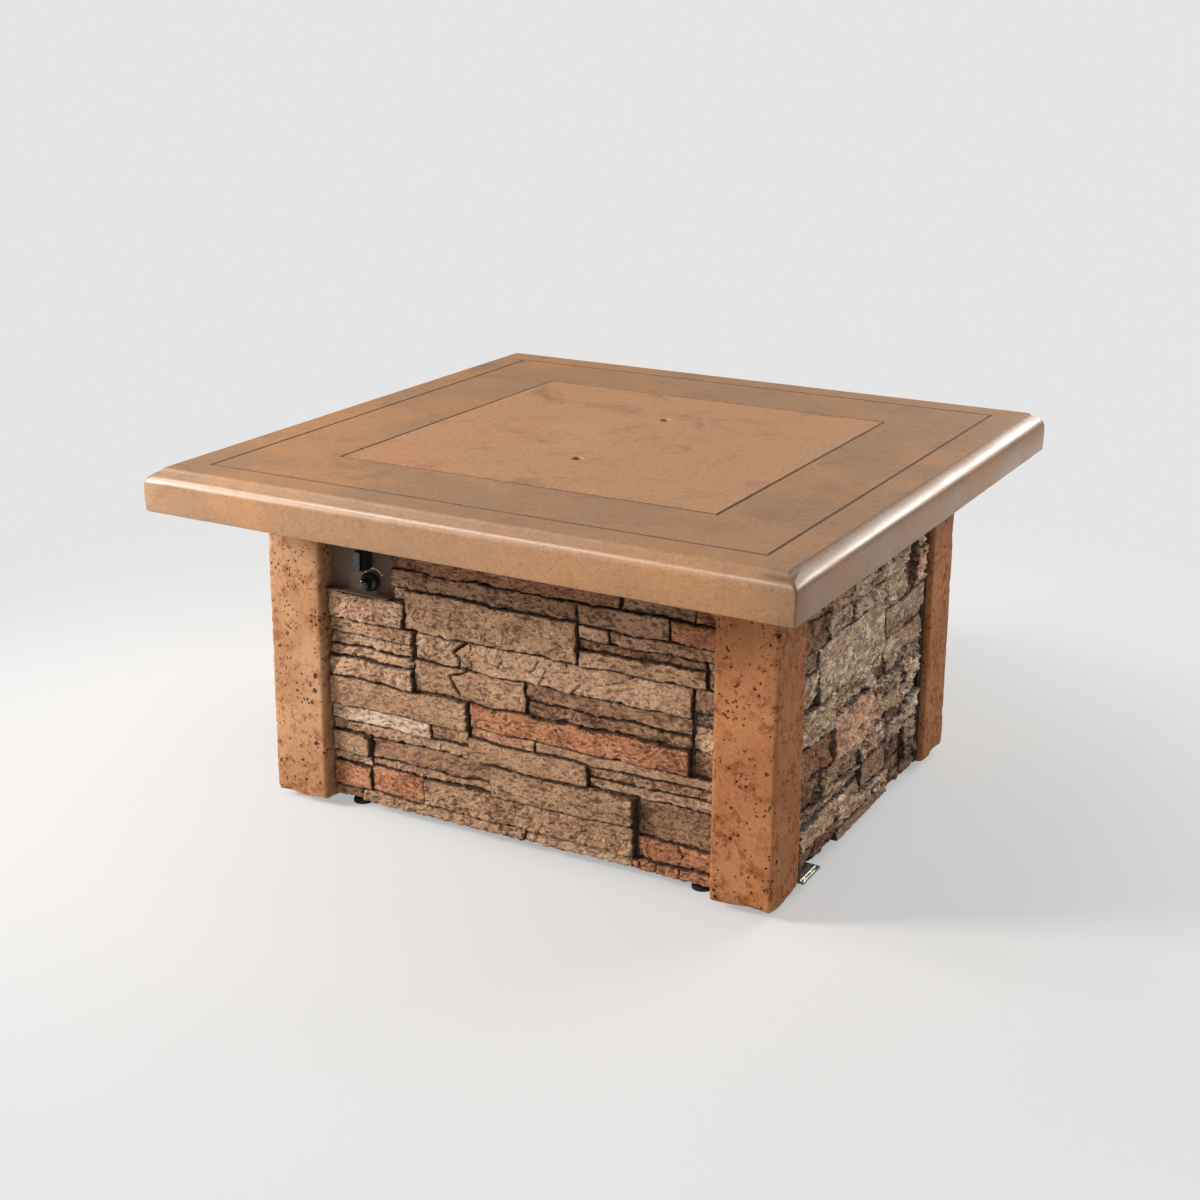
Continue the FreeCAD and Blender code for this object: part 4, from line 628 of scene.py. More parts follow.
# Tones of the stone: base, light grain (also painted highlights), dark bed (also painted shade) and how much
# mica glints in it (painted glints)
STONE_TONES: dict[Tone, tuple[str, str, str, float]] = {
    Tone.BUFF: ("#8f6748", "#c49b78", "#50331f", 0.0),
    Tone.SAND: ("#9a7050", "#cfa888", "#593a26", 0.0),
    Tone.CREAM: ("#b9957a", "#e4cab2", "#7a5842", 0.0),
    Tone.ROSE: ("#9d6846", "#ca9a77", "#5b3724", 0.0),
    Tone.CLAY: ("#8a5739", "#b8855f", "#4b2c1b", 0.0),
    Tone.RUSSET: ("#8f5433", "#c88a62", "#4c2716", 0.0),
    Tone.TAUPE: ("#7f5b41", "#b48d6d", "#452c1d", 0.0),
    Tone.UMBER: ("#744e37", "#ae8361", "#3a2416", 0.0),
    Tone.WALNUT: ("#4a2f1e", "#8d6747", "#170d06", 0.15),
    Tone.BRONZE: ("#533722", "#b18a63", "#170d06", 0.55),
    Tone.DRIFT: ("#604129", "#c49c73", "#1c1007", 0.75),
    Tone.SILVER: ("#583d28", "#caa780", "#190e06", 1.0),
    Tone.SALMON: ("#925231", "#e3aa84", "#331608", 0.45),
}
EVEN = (0.3, 0.3, 0.3)


class Palette:
    """Every finish of the object, built once and handed out by name."""

    def __init__(self) -> None:
        """Build the finishes."""
        finishes = [
            SealedConcrete("sealed_concrete_top"),
            SealedConcrete("sealed_concrete_lid", base="#a67d58", warm="#a8764e", dark="#74503a", stain=0.75,
                           clouds_mm=330.0),
            PittedCastStone("pitted_cast_stone"),
            # A paler copy of the cast stone: painted sheen standing in for the light that makes the
            # front-left column look paler
            PittedCastStone("pitted_cast_stone_painted_sheen", base="#9c7352", light="#a98260", rust="#7d4c2c"),
            FibreCement("fibre_cement_board"),
            PowderCoat("black_powder_coat", "#1b1714", "#453d34", rough=0.58, gloss=0.2),
            PowderCoat("bronze_powder_coat", "#57463b", "#6a574a", rough=0.62, dust_share=0.5, gloss=0.25),
            PowderCoat("graphite_powder_coat", "#2a231d", "#4a3f34", rough=0.62, gloss=0.15),
            SheetMetal("stainless_sheet", "#aba8a2", rough=0.42),
            SheetMetal("zinc_plate", "#a9aca6", 0.36, (1.0, 0.15, 1.0), stain="#6f7268", stain_share=0.3),
            SheetMetal("turned_brass", "#c39a4d", 0.3, (1.0, 1.0, 0.2), stain="#6f5228", stain_share=0.2),
            SheetMetal("die_cast_zinc", "#9a9a9b", 0.48, (0.8, 0.8, 0.8), stain="#66645f", stain_share=0.25),
            SheetMetal("aluminium_pipe", "#c4c5c8", 0.32, EVEN, stain="#8b8984", stain_share=0.15),
            SheetMetal("copper_sheath", "#b06c47", 0.34, EVEN, stain="#5b3422", stain_share=0.3),
            MouldedPlastic("black_gloss_abs", "#0d0e0e", "#222423", rough=0.24),
            MouldedPlastic("black_matt_abs", "#151515", "#2c2b2a", rough=0.55),
            MouldedPlastic("black_rubber", "#191817", "#33302d", rough=0.78, texture_mm=1.6),
            MouldedPlastic("red_silicone_sleeve", "#8d2c1c", "#a8513c", rough=0.6, texture_mm=1.2),
            MouldedPlastic("white_ceramic", "#e6e1d6", "#c9bfae", rough=0.25, texture_mm=2.0),
            CrushedGlass("smoky_fire_glass"),
            Enamel("pale_screen_print"),
        ]
        self.by_name = {f.name: f.build() for f in finishes}
        for tone, (base, light, dark, glint) in STONE_TONES.items():
            stone = Ledgestone("ledgestone_" + tone.value, base, light, dark, glint)
            self.by_name[tone.value] = stone.build()

    def __getitem__(self, name: str) -> bpy.types.Material:
        """Return the material of that name."""
        return self.by_name[name]


# Weathering


@dataclass(frozen=True)
class Wave:
    """A noise over a plane: its largest wave along and up in millimetres, its octaves and where it starts."""
    along: float
    up: float
    octaves: int = 3
    keep: float = 0.5
    start: tuple[float, float] = (0.0, 0.0)


class Weather:
    """Repeatable gradient noise over a plane, worked out for many points at once.

    Its lattice repeats after LATTICE steps. Each octave is FINER times as fine as the one before and starts
    OCTAVE_STEP further on. A chip's tilt comes from TILT_STEP away, and LEVEL brings the waves to about 1.
    """
    LATTICE = 256
    FINER = 2.03
    OCTAVE_STEP = (17.3, 9.1)
    TILT_STEP = (71, 37)
    LEVEL = 1.6

    def __init__(self, seed: int) -> None:
        """Draw the slopes of the noise's lattice.

        Args:
            seed: names the pattern; the same seed always gives the same one.
        """
        angle = np.random.RandomState(seed).rand(self.LATTICE, self.LATTICE) * math.tau
        self.slope = np.stack((np.cos(angle), np.sin(angle)), axis=-1)

    def waves(self, a: np.ndarray, b: np.ndarray) -> np.ndarray:
        """Work out one octave.

        Args:
            a: first coordinates, in lattice steps.
            b: second coordinates.

        Returns:
            The octave at each point, about -1 to 1.
        """
        i, j = np.floor(a).astype(int), np.floor(b).astype(int)
        u, v = a - i, b - j
        fade_u, fade_v = (w * w * w * (w * (w * 6 - 15) + 10) for w in (u, v))
        corner = {}
        for di in (0, 1):
            for dj in (0, 1):
                slope = self.slope[(i + di) % self.LATTICE, (j + dj) % self.LATTICE]
                corner[di, dj] = slope[..., 0] * (u - di) + slope[..., 1] * (v - dj)
        low = corner[0, 0] + fade_u * (corner[1, 0] - corner[0, 0])
        high = corner[0, 1] + fade_u * (corner[1, 1] - corner[0, 1])
        return self.LEVEL * (low + fade_v * (high - low))

    def fractal(self, a: np.ndarray, b: np.ndarray, wave: Wave) -> np.ndarray:
        """Add up octaves of waves.

        Args:
            a: first coordinates in millimetres.
            b: second coordinates.
            wave: the size, octaves and start of the noise.

        Returns:
            The sum at each point, about -1 to 1.
        """
        a, b = a + wave.start[0], b + wave.start[1]
        total = np.zeros_like(a, dtype=float)
        high = 1.0
        for k in range(wave.octaves):
            scale = self.FINER ** k
            total += high * self.waves(a / wave.along * scale + self.OCTAVE_STEP[0] * k,
                                       b / wave.up * scale + self.OCTAVE_STEP[1] * k)
            high *= wave.keep
        return total

    def shards(self, a: np.ndarray, b: np.ndarray, size_a: float, size_b: float) -> np.ndarray:
        """Return broken facets: each point lies on the tilted plane of its nearest chip.

        Args:
            a: first coordinates in millimetres.
            b: second coordinates.
            size_a: length of a chip along the first.
            size_b: its length along the second.

        Returns:
            The height at each point, about -1 to 1.
        """
        p, q = a / size_a, b / size_b
        i, j = np.floor(p).astype(int), np.floor(q).astype(int)
        nearest, height = np.full(p.shape, np.inf), np.zeros(p.shape)
        side = self.LATTICE
        for di in (-1, 0, 1):
            for dj in (-1, 0, 1):
                spot = self.slope[(i + di) % side, (j + dj) % side]
                tilt = self.slope[(i + di + self.TILT_STEP[0]) % side, (j + dj + self.TILT_STEP[1]) % side]
                u, v = p - i - di - 0.5 - 0.4 * spot[..., 0], q - j - dj - 0.5 - 0.4 * spot[..., 1]
                closer = u * u + v * v < nearest
                plane = 0.5 * tilt[..., 0] + 0.6 * tilt[..., 1] * u - 0.6 * spot[..., 0] * v
                height = np.where(closer, plane, height)
                nearest = np.minimum(nearest, u * u + v * v)
        return height


# Mesh helpers


def as_object(bm: bmesh.types.BMesh, name: str, body: str, materials: Sequence[bpy.types.Material],
              smooth_deg: Optional[float] = None) -> bpy.types.Object:
    """Turn a bmesh into a finished piece that rides on a body.

    Args:
        bm: the mesh, in metres in the frame's own place; it is freed here.
        name: the piece's name.
        body: the body that it moves with.
        materials: its material slots in order.
        smooth_deg: shade smooth across edges below this angle, or flat when None.

    Returns:
        The new object, at the origin.
    """
    mesh = bpy.data.meshes.new(name)
    if smooth_deg is not None:
        limit = math.radians(smooth_deg)
        for face in bm.faces:
            face.smooth = True
        for edge in bm.edges:
            edge.smooth = len(edge.link_faces) == 2 and edge.calc_face_angle(0.0) < limit
    bm.to_mesh(mesh)
    bm.free()
    for material in materials:
        mesh.materials.append(material)
    piece = bpy.data.objects.new(name, mesh)
    bpy.context.scene.collection.objects.link(piece)
    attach(piece, body)
    LOG.info("%s: %d faces on %s", name, len(mesh.polygons), body)
    return piece


def block(bm: bmesh.types.BMesh, low: Vector, high: Vector) -> None:
    """Add a box between two corners.

    Args:
        bm: the mesh it goes into, which holds nothing else yet.
        low: the box's lowest corner.
        high: its highest.
    """
    bmesh.ops.create_cube(bm, size=1.0)
    bmesh.ops.scale(bm, vec=high - low, verts=bm.verts)
    bmesh.ops.translate(bm, vec=(low + high) / 2, verts=bm.verts)


def islands(node: str) -> list[tuple[Vector, Vector]]:
    """Find the separate solids of a CAD node.

    Args:
        node: the node's name.

    Returns:
        The lowest and highest corner of each, from the bottom up.
    """
    bm = bmesh.new()
    bm.from_mesh(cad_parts[node].data)
    bmesh.ops.remove_doubles(bm, verts=bm.verts, dist=1e-6)
    boxes = []
    seen: set[bmesh.types.BMVert] = set()
    for start in bm.verts:
        if start in seen:
            continue
        group = [start]
        seen.add(start)
        for vert in group:
            for edge in vert.link_edges:
                other = edge.other_vert(vert)
                if other not in seen:
                    seen.add(other)
                    group.append(other)
        low = Vector([min(v.co[k] for v in group) for k in range(3)])
        high = Vector([max(v.co[k] for v in group) for k in range(3)])
        boxes.append((low, high))
    bm.free()
    return sorted(boxes, key=lambda b: (round(b[0].z, 4), round(b[0].x, 4), round(b[0].y, 4)))


# Stacked stone


@dataclass(frozen=True)
class Note:
    """What one stone looks like: how it was split, a point in it in millimetres and its tone."""
    split: Split
    along: float
    up: float
    tone: Tone


@dataclass(frozen=True)
class Crack:
    """A crack across the stones, as a run of points in millimetres, with its width and depth."""
    points: tuple[tuple[float, float], ...]
    width: float = 2.0
    depth: float = 4.0

    def cut(self, along: np.ndarray, up: np.ndarray, ragged: np.ndarray) -> np.ndarray:
        """Work out how deep the crack cuts.

        Args:
            along: places along the wall, in millimetres.
            up: heights.
            ragged: how much each point widens or narrows it.

        Returns:
            The depth at each point, in millimetres.
        """
        best = np.full(along.shape, np.inf)
        for (ax, ay), (bx, by) in zip(self.points, self.points[1:]):
            dx, dy = bx - ax, by - ay
            t = np.clip(((along - ax) * dx + (up - ay) * dy) / (dx * dx + dy * dy), 0.0, 1.0)
            best = np.minimum(best, np.hypot(along - ax - t * dx, up - ay - t * dy))
        return self.depth * np.clip(1.0 - best / self.width + ragged, 0.0, 1.0) * (best < 2.0 * self.width)


@dataclass(frozen=True)
class Patch:
    """A place where the wall's face dips or swells over a soft round area, in millimetres."""
    along: float
    up: float
    wide: float
    tall: float
    lift: float

    def rise(self, along: np.ndarray, up: np.ndarray) -> np.ndarray:
        """Return how far the face moves out at each point."""
        out = ((along - self.along) / self.wide) ** 2 + ((up - self.up) / self.tall) ** 2
        return self.lift * np.exp(-2.0 * out)


# How a wall's table of stones is written: each entry says the split, a point in the stone and its tone
sawn = partial(Note, Split.SAWN)
pitched = partial(Note, Split.PITCHED)
layered = partial(Note, Split.LAYERED)

FRONT_NOTES = [
    pitched(-332, 28, Tone.UMBER), pitched(-142, 28, Tone.BUFF), pitched(117, 28, Tone.SAND),
    pitched(288, 28, Tone.RUSSET), sawn(-321, 60, Tone.RUSSET), sawn(-228, 63, Tone.RUSSET),
    pitched(23, 63, Tone.BUFF), layered(291, 58, Tone.RUSSET), pitched(-321, 91, Tone.SAND),
    pitched(-162, 94, Tone.BUFF), sawn(-321, 120, Tone.BUFF), layered(-162, 120, Tone.UMBER),
    sawn(90, 113, Tone.BUFF), layered(291, 107, Tone.UMBER), pitched(-223, 150, Tone.SAND),
    sawn(25, 158, Tone.BUFF), layered(248, 149, Tone.SAND), pitched(248, 168, Tone.BUFF),
    sawn(-260, 174, Tone.CREAM), sawn(-122, 174, Tone.BUFF), sawn(-23, 186, Tone.ROSE),
    sawn(200, 186, Tone.BUFF), sawn(-223, 213, Tone.BUFF), layered(115, 217, Tone.RUSSET),
    pitched(338, 217, Tone.UMBER), pitched(-276, 256, Tone.SAND), pitched(-276, 284, Tone.SAND),
    pitched(-276, 305, Tone.SAND), sawn(-276, 329, Tone.BUFF), sawn(-85, 265, Tone.BUFF),
    layered(170, 250, Tone.UMBER), layered(170, 277, Tone.UMBER), pitched(339, 260, Tone.SAND),
    pitched(339, 292, Tone.WALNUT), pitched(339, 322, Tone.TAUPE), pitched(-136, 317, Tone.SAND),
    layered(118, 317, Tone.SAND), pitched(-284, 366, Tone.SAND), pitched(-45, 377, Tone.BUFF),
    pitched(-220, 401, Tone.SAND), sawn(228, 355, Tone.BUFF), pitched(350, 363, Tone.SAND),
    pitched(228, 377, Tone.UMBER), sawn(144, 396, Tone.SAND), pitched(266, 396, Tone.BUFF),
    pitched(-58, 428, Tone.TAUPE), sawn(196, 425, Tone.TAUPE), pitched(318, 425, Tone.RUSSET),
    pitched(-210, 458, Tone.UMBER), pitched(2, 458, Tone.CLAY), pitched(254, 458, Tone.TAUPE),
    pitched(340, 458, Tone.RUSSET),
]
DOOR_NOTES = [
    pitched(-235, 45, Tone.UMBER), pitched(-154, 40, Tone.UMBER), sawn(3, 28, Tone.BUFF),
    pitched(188, 32, Tone.WALNUT), layered(3, 50, Tone.DRIFT), pitched(156, 58, Tone.UMBER),
    pitched(226, 62, Tone.WALNUT), layered(-148, 80, Tone.DRIFT), pitched(47, 70, Tone.UMBER),
    pitched(156, 89, Tone.WALNUT), layered(226, 96, Tone.BRONZE), layered(-148, 111, Tone.BRONZE),
    sawn(32, 100, Tone.BUFF), pitched(103, 100, Tone.WALNUT), pitched(156, 123, Tone.DRIFT),
    layered(226, 139, Tone.SILVER), pitched(-231, 148, Tone.UMBER), pitched(-108, 145, Tone.BRONZE),
    layered(32, 140, Tone.BRONZE), pitched(105, 140, Tone.SAND), pitched(156, 152, Tone.WALNUT),
    pitched(-208, 199, Tone.CLAY), pitched(-48, 206, Tone.SALMON), pitched(106, 183, Tone.DRIFT),
    pitched(212, 182, Tone.SILVER), pitched(111, 221, Tone.BRONZE), layered(217, 215, Tone.DRIFT),
    layered(-208, 259, Tone.SILVER), layered(-48, 257, Tone.BRONZE), layered(-37, 280, Tone.DRIFT),
    pitched(69, 254, Tone.WALNUT), pitched(134, 254, Tone.BRONZE), pitched(217, 250, Tone.BRONZE),
    pitched(-242, 322, Tone.SILVER), pitched(-242, 368, Tone.BRONZE), sawn(-71, 338, Tone.SILVER),
    sawn(164, 285, Tone.BRONZE), layered(164, 310, Tone.BUFF), sawn(164, 340, Tone.BRONZE),
    pitched(-220, 408, Tone.UMBER), pitched(-119, 402, Tone.SILVER), layered(-1, 402, Tone.SILVER),
    layered(122, 390, Tone.SILVER), pitched(190, 390, Tone.WALNUT), pitched(232, 397, Tone.SALMON),
    pitched(-220, 448, Tone.BRONZE), pitched(-123, 441, Tone.BRONZE), pitched(48, 441, Tone.SILVER),
    pitched(190, 441, Tone.WALNUT), pitched(232, 448, Tone.SILVER),
]
FRONT_CRACKS = [
    Crack(((-84, 342), (-108, 326), (-116, 317), (-104, 310), (-105, 292)), 3.0, 8.0),
    Crack(((-90, 290), (-104, 282), (-122, 277), (-116, 262), (-103, 246)), 2.6, 7.0),
    Crack(((46, 334), (38, 318), (30, 313)), 2.2), Crack(((62, 326), (55, 308), (50, 300)), 1.8),
    Crack(((122, 308), (106, 293)), 2.6), Crack(((215, 339), (196, 327), (150, 313)), 1.8),
    Crack(((98, 340), (96, 322)), 1.4), Crack(((-28, 338), (-20, 322), (-30, 308)), 1.4),
    Crack(((245, 72), (240, 56), (248, 40)), 1.8), Crack(((295, 74), (304, 60), (298, 44)), 1.8),
    Crack(((226, 40), (230, 20)), 1.8), Crack(((262, 40), (256, 20)), 1.8),
    Crack(((300, 40), (298, 18)), 1.8), Crack(((-60, 428), (-30, 416), (0, 415)), 2.0),
    Crack(((-180, 426), (-160, 418)), 2.6), Crack(((-193, 342), (-194, 291)), 4.0, 11.0),
    Crack(((-85, 237), (-86, 186)), 3.8, 11.0), Crack(((-282, 137), (-283, 101)), 3.8, 11.0),
    Crack(((222, 139), (221, 87)), 3.8, 11.0), Crack(((221, 86), (223, 38)), 3.8, 11.0),
    Crack(((318, 240), (317, 196)), 3.6, 11.0), Crack(((319, 293), (318, 262)), 3.6, 11.0),
]
FRONT_PATCHES = [
    Patch(-88, 47, 26, 8, -6.0), Patch(-62, 60, 22, 9, 3.0), Patch(-97, 318, 9, 7, 3.5),
    Patch(-76, 104, 18, 8, -5.0), Patch(205, 292, 40, 12, 3.0), Patch(-250, 330, 40, 9, 2.5),
    Patch(20, 40, 30, 10, 2.0), Patch(150, 285, 30, 8, -3.0),
]


def ledges(value: np.ndarray, count: float) -> np.ndarray:
    """Cut a smooth value into sloping treads with steep risers, as broken layers have.

    Args:
        value: the smooth value.
        count: steps for each unit of it.

    Returns:
        The stepped value.
    """
    level = np.floor(value * count)
    rest = value * count - level
    return (level + 0.25 * rest + 0.75 * np.clip((rest - 0.4) * 5.0, 0.0, 1.0)) / count


@dataclass(frozen=True)
class EdgeWear:
    """How far a stone's arris falls back, in millimetres, and how much of it is chipped away."""
    lip: float
    chips: float


EDGE_WEAR = {
    Split.SAWN: EdgeWear(1.2, 0.5),
    Split.PITCHED: EdgeWear(2.4, 1.3),
    Split.LAYERED: EdgeWear(2.0, 1.3),
}
SPARE_SPLITS = (Split.SAWN, Split.PITCHED, Split.PITCHED, Split.LAYERED)
SPARE_TONES = (Tone.BUFF, Tone.SAND, Tone.UMBER, Tone.BUFF, Tone.ROSE, Tone.RUSSET, Tone.TAUPE)
# Directions along each wall and out of it
FACING = {
    Wall.FRONT: (Vector((1, 0, 0)), Vector((0, -1, 0))),
    Wall.RIGHT: (Vector((0, 1, 0)), Vector((1, 0, 0))),
    Wall.BACK: (Vector((-1, 0, 0)), Vector((0, 1, 0))),
    Wall.LEFT: (Vector((0, -1, 0)), Vector((-1, 0, 0))),
}
# Waves of the joints, in millimetres
JOINT_SWING = Wave(85, 50, 2)
JOINT_BITE = Wave(15, 15, 2, start=(400, 0))
JOINT_SIDE = Wave(40, 26, start=(0, 700))
# Waves of the split faces, in millimetres
SWELL = Wave(55, 28)
LUMPS = Wave(16, 10, 4, 0.55, (0, 211))
GRIT = Wave(7.5, 5.5, 2, 0.7, (0, 97))
BEDS = Wave(90, 9, 3, 0.6)
BROKEN_ARRIS = Wave(11, 11, start=(0, 57))
RAGGED = Wave(13, 9, start=(0, 900))
SLAB = (44, 17)
SLAB_START = 333


@dataclass
class StoneWall:
    """One face of stacked stone, every stone split and tinted by itself; sizes are in millimetres.

    The wall's corners low and high, how proud its stones stand and its weather are found by build.
    """
    wall: Wall
    node: str
    body: str
    step: float
    rough: float
    notes: list[Note] = field(default_factory=list)
    cracks: list[Crack] = field(default_factory=list)
    patches: list[Patch] = field(default_factory=list)
    chip: tuple[float, float] = (14.0, 8.0)
    wander: float = 2.4
    joint: float = 0.5
    still_edge: float = 14.0
    thinnest: float = 1.5
    low: tuple[float, float] = (0.0, 0.0)
    high: tuple[float, float] = (0.0, 0.0)
    proud: float = 20.0
    weather: Optional[Weather] = None

    def note_for(self, low: Sequence[float], high: Sequence[float], number: int) -> tuple[Tone, Split]:
        """Find the tone and split of the stone between two corners, or deal it one.

        Args:
            low: lowest along and up, in millimetres.
            high: highest along and up.
            number: the stone's place in the wall, which seeds the dealt ones.

        Returns:
            The stone's tone and split.
        """
        for note in self.notes:
            if low[0] <= note.along <= high[0] and low[1] <= note.up <= high[1]:
                return note.tone, note.split
        deal = random.Random(number * 7 + len(self.node))
        return deal.choice(SPARE_TONES), deal.choice(SPARE_SPLITS)

    def drift(self, along: np.ndarray, up: np.ndarray) -> tuple[np.ndarray, np.ndarray]:
        """Work out how far the joints wander, the same for both stones that meet at one.

        Args:
            along: places along the wall, in millimetres.
            up: heights.

        Returns:
            The move along and the move up at each point.
        """
        near = np.minimum(np.minimum(along - self.low[0], self.high[0] - along),
                          np.minimum(up - self.low[1], self.high[1] - up))
        inside = np.clip(near / self.still_edge, 0.0, 1.0)
        waves = (JOINT_SWING, JOINT_BITE, JOINT_SIDE)
        swing, bite, side = (self.weather.fractal(along, up, wave) for wave in waves)
        return inside * self.wander * 0.9 * side, inside * (self.wander * 1.4 * swing + 0.8 * bite)

    def height(self, along: np.ndarray, up: np.ndarray, split: Split,
               seed: float) -> tuple[np.ndarray, np.ndarray]:
        """Return the face's swell and its grain in millimetres, each about as much above its plane as below.

        Args:
            along: places along the wall, in millimetres.
            up: heights, in millimetres.
            split: how the stone was split.
            seed: a value of the stone's own, in millimetres.

        Returns:
            The swell and the grain at each point.
        """
        wide, mid, fine = (self.weather.fractal(along + seed, up, wave) for wave in (SWELL, LUMPS, GRIT))
        if split is Split.SAWN:
            return 0.9 * wide, 0.6 * mid + 0.5 * fine
        chips = self.weather.shards(along + seed + 4.0 * mid, up + 3.0 * mid, *self.chip)
        slabs = self.weather.shards(along + seed + 9.0 * mid, up + 0.2 * along + SLAB_START + 5.0 * mid,
                                    *SLAB)
        if split is Split.PITCHED:
            swell = self.rough * (1.5 * wide + 2.2 * slabs)
            return swell, (1.2 * mid + 0.8 * fine) / self.rough + 2.5 * self.rough ** 0.6 * chips
        bed = ledges(self.weather.fractal(along + seed, up + 6.0 * wide, BEDS), 2.2)
        swell = self.rough * (1.2 * wide + 1.2 * slabs)
        return swell, self.rough * (2.2 * bed + 1.0 * chips) + (0.8 * mid + 0.6 * fine) / self.rough

    def lay(self, bm: bmesh.types.BMesh, low: Sequence[float], high: Sequence[float], out: float,
            number: int) -> None:
        """Add one stone to the wall's mesh, in along, up and out millimetres.

        Args:
            bm: the wall's mesh.
            low: the stone's lowest along and up.
            high: its highest.
            out: how far its face stands out of the backing.
            number: its place in the wall.
        """
        tone, split = self.note_for(low, high, number)
        width, tall = high[0] - low[0], high[1] - low[1]
        step = self.step * 1.0
        made = bmesh.ops.create_grid(bm, x_segments=max(4, round(width / step)),
                                     y_segments=max(4, round(tall / step)), size=0.5)["verts"]
        deal = random.Random(number * 31 + len(self.node))
        dealt, seed = deal.random(), deal.uniform(0.0, 900.0)
        lean, twist = deal.uniform(-1.8, 2.2) * self.rough, deal.uniform(-1.4, 1.4) * self.rough
        slot = list(Tone).index(tone)
        shift = bm.faces.layers.float["shift"]
        for face in {f for v in made for f in v.link_faces}:
            face.material_index = slot
            face[shift] = dealt
        share = np.array([v.co[:2] for v in made]) + 0.5
        s, t = share[:, 0], share[:, 1]
        along, up = low[0] + s * width, low[1] + t * tall
        edge = np.minimum(np.minimum(s, 1 - s) * width, np.minimum(t, 1 - t) * tall)
        wear = self.weather.fractal(along + seed, up, BROKEN_ARRIS)
        pull = np.exp(-edge / 3.0) * (0.1 + np.clip(wear + 0.05, 0.0, None) * EDGE_WEAR[split].chips)
        move = self.drift(along, up)
        along = along + move[0] + pull * np.clip((0.5 - s) * width / 6.0, -1.0, 1.0)
        up = up + move[1] + pull * np.clip((0.5 - t) * tall / 6.0, -1.0, 1.0)
        lip = np.exp(-(edge / 1.8) ** 2) * EDGE_WEAR[split].lip * (0.4 + np.clip(wear + 0.35, 0.0, None))
        swell, grain = self.height(along, up, split, seed)
        relief = swell + grain + lean * (t - 0.5) * 2.0 + twist * (s - 0.5) * 2.0
        relief = relief + sum(p.rise(along, up) for p in self.patches)
        ragged = 0.45 * self.weather.fractal(along, up, RAGGED)
        cut = np.maximum.reduce([np.zeros_like(along)] + [c.cut(along, up, ragged) for c in self.cracks])
        stand = self.proud - 1.4 * (self.proud - out)
        face_out = np.minimum(self.proud, stand + relief - 1.4 * self.rough) - lip - cut
        face_out = np.clip(face_out, self.thinnest, None)
        # Darker at the joints, in the grain's hollows and in the cracks: partly dirt, partly painted shade
        seam = np.exp(-edge / 1.9) * np.clip(0.72 + 0.9 * ragged, 0.3, 1.0)
        dirt_and_shade = np.clip(seam + np.clip(-grain - 0.8, 0.0, None) / 6.0 + cut / 5.0, 0.0, 1.0)
        # Painted highlight: how much lighter the crests of the grain are painted
        painted_highlight = np.clip((grain - 0.3) / 2.4, 0.0, 1.0)
        recess, tip = bm.verts.layers.float["recess"], bm.verts.layers.float["tip"]
        for k, vert in enumerate(made):
            vert.co = (along[k], up[k], face_out[k])
            vert[recess] = dirt_and_shade[k]
            vert[tip] = painted_highlight[k]
        self.close(bm, made, slot)

    def close(self, bm: bmesh.types.BMesh, made: list[bmesh.types.BMVert], slot: int) -> None:
        """Give a stone's face its sides and its back, darkened: partly dirt, partly painted shade in the
        gaps.

        Args:
            bm: the wall's mesh.
            made: the points of the stone's face.
            slot: its material slot.
        """
        recess = bm.verts.layers.float["recess"]
        border = [e for e in {e for v in made for e in v.link_edges} if e.is_boundary]
        skirt = bmesh.ops.extrude_edge_only(bm, edges=border)["geom"]
        # The sides stand in the gaps and are darkened as painted shade
        for vert in (g for g in skirt if isinstance(g, bmesh.types.BMVert)):
            vert.co.z = 0.0
            vert[recess] = 0.9
        for face in (g for g in skirt if isinstance(g, bmesh.types.BMFace)):
            face.material_index = slot
        rim = [g for g in skirt if isinstance(g, bmesh.types.BMEdge) and g.is_boundary]
        for face in bmesh.ops.contextual_create(bm, geom=rim)["faces"]:
            face.material_index = slot

    def build(self, palette: Palette) -> bpy.types.Object:
        """Build the wall and put it in place of its CAD node.

        Args:
            palette: the finishes.

        Returns:
            The wall's object.
        """
        along, out = FACING[self.wall]
        self.weather = Weather(len(self.node))
        boxes = islands(self.node)
        origin = min(out.dot(c) for box in boxes for c in box)
        self.proud = (max(out.dot(c) for box in boxes for c in box) - origin) / MM
        spans = [(*sorted((along.dot(a) / MM, along.dot(b) / MM)), a.z / MM, b.z / MM) for a, b in boxes]
        self.low = (min(s[0] for s in spans), min(s[2] for s in spans))
        self.high = (max(s[1] for s in spans), max(s[3] for s in spans))
        bm = bmesh.new()
        bm.faces.layers.float.new("shift")
        bm.verts.layers.float.new("recess")
        bm.verts.layers.float.new("tip")
        for number, ((left, right, under, over), (a, b)) in enumerate(zip(spans, boxes)):
            face = max(out.dot(a), out.dot(b)) - origin
            low = [c - self.joint * (c > end + 2) for c, end in zip((left, under), self.low)]
            high = [c + self.joint * (c < end - 2) for c, end in zip((right, over), self.high)]
            self.lay(bm, low, high, face / MM, number)
        bmesh.ops.recalc_face_normals(bm, faces=bm.faces)
        turn = Matrix((along, Vector((0, 0, 1)), out)).transposed().to_4x4()
        place = Matrix.Translation(out * origin) @ turn @ Matrix.Scale(MM, 4)
        bmesh.ops.transform(bm, matrix=place, verts=bm.verts)
        bmesh.ops.recalc_face_normals(bm, faces=bm.faces)
        tones = [palette[tone.value] for tone in Tone]
        piece = as_object(bm, self.wall.value + "_ledgestone", self.body, tones, 34.0)
        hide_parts(self.node)
        return piece


# Corner columns


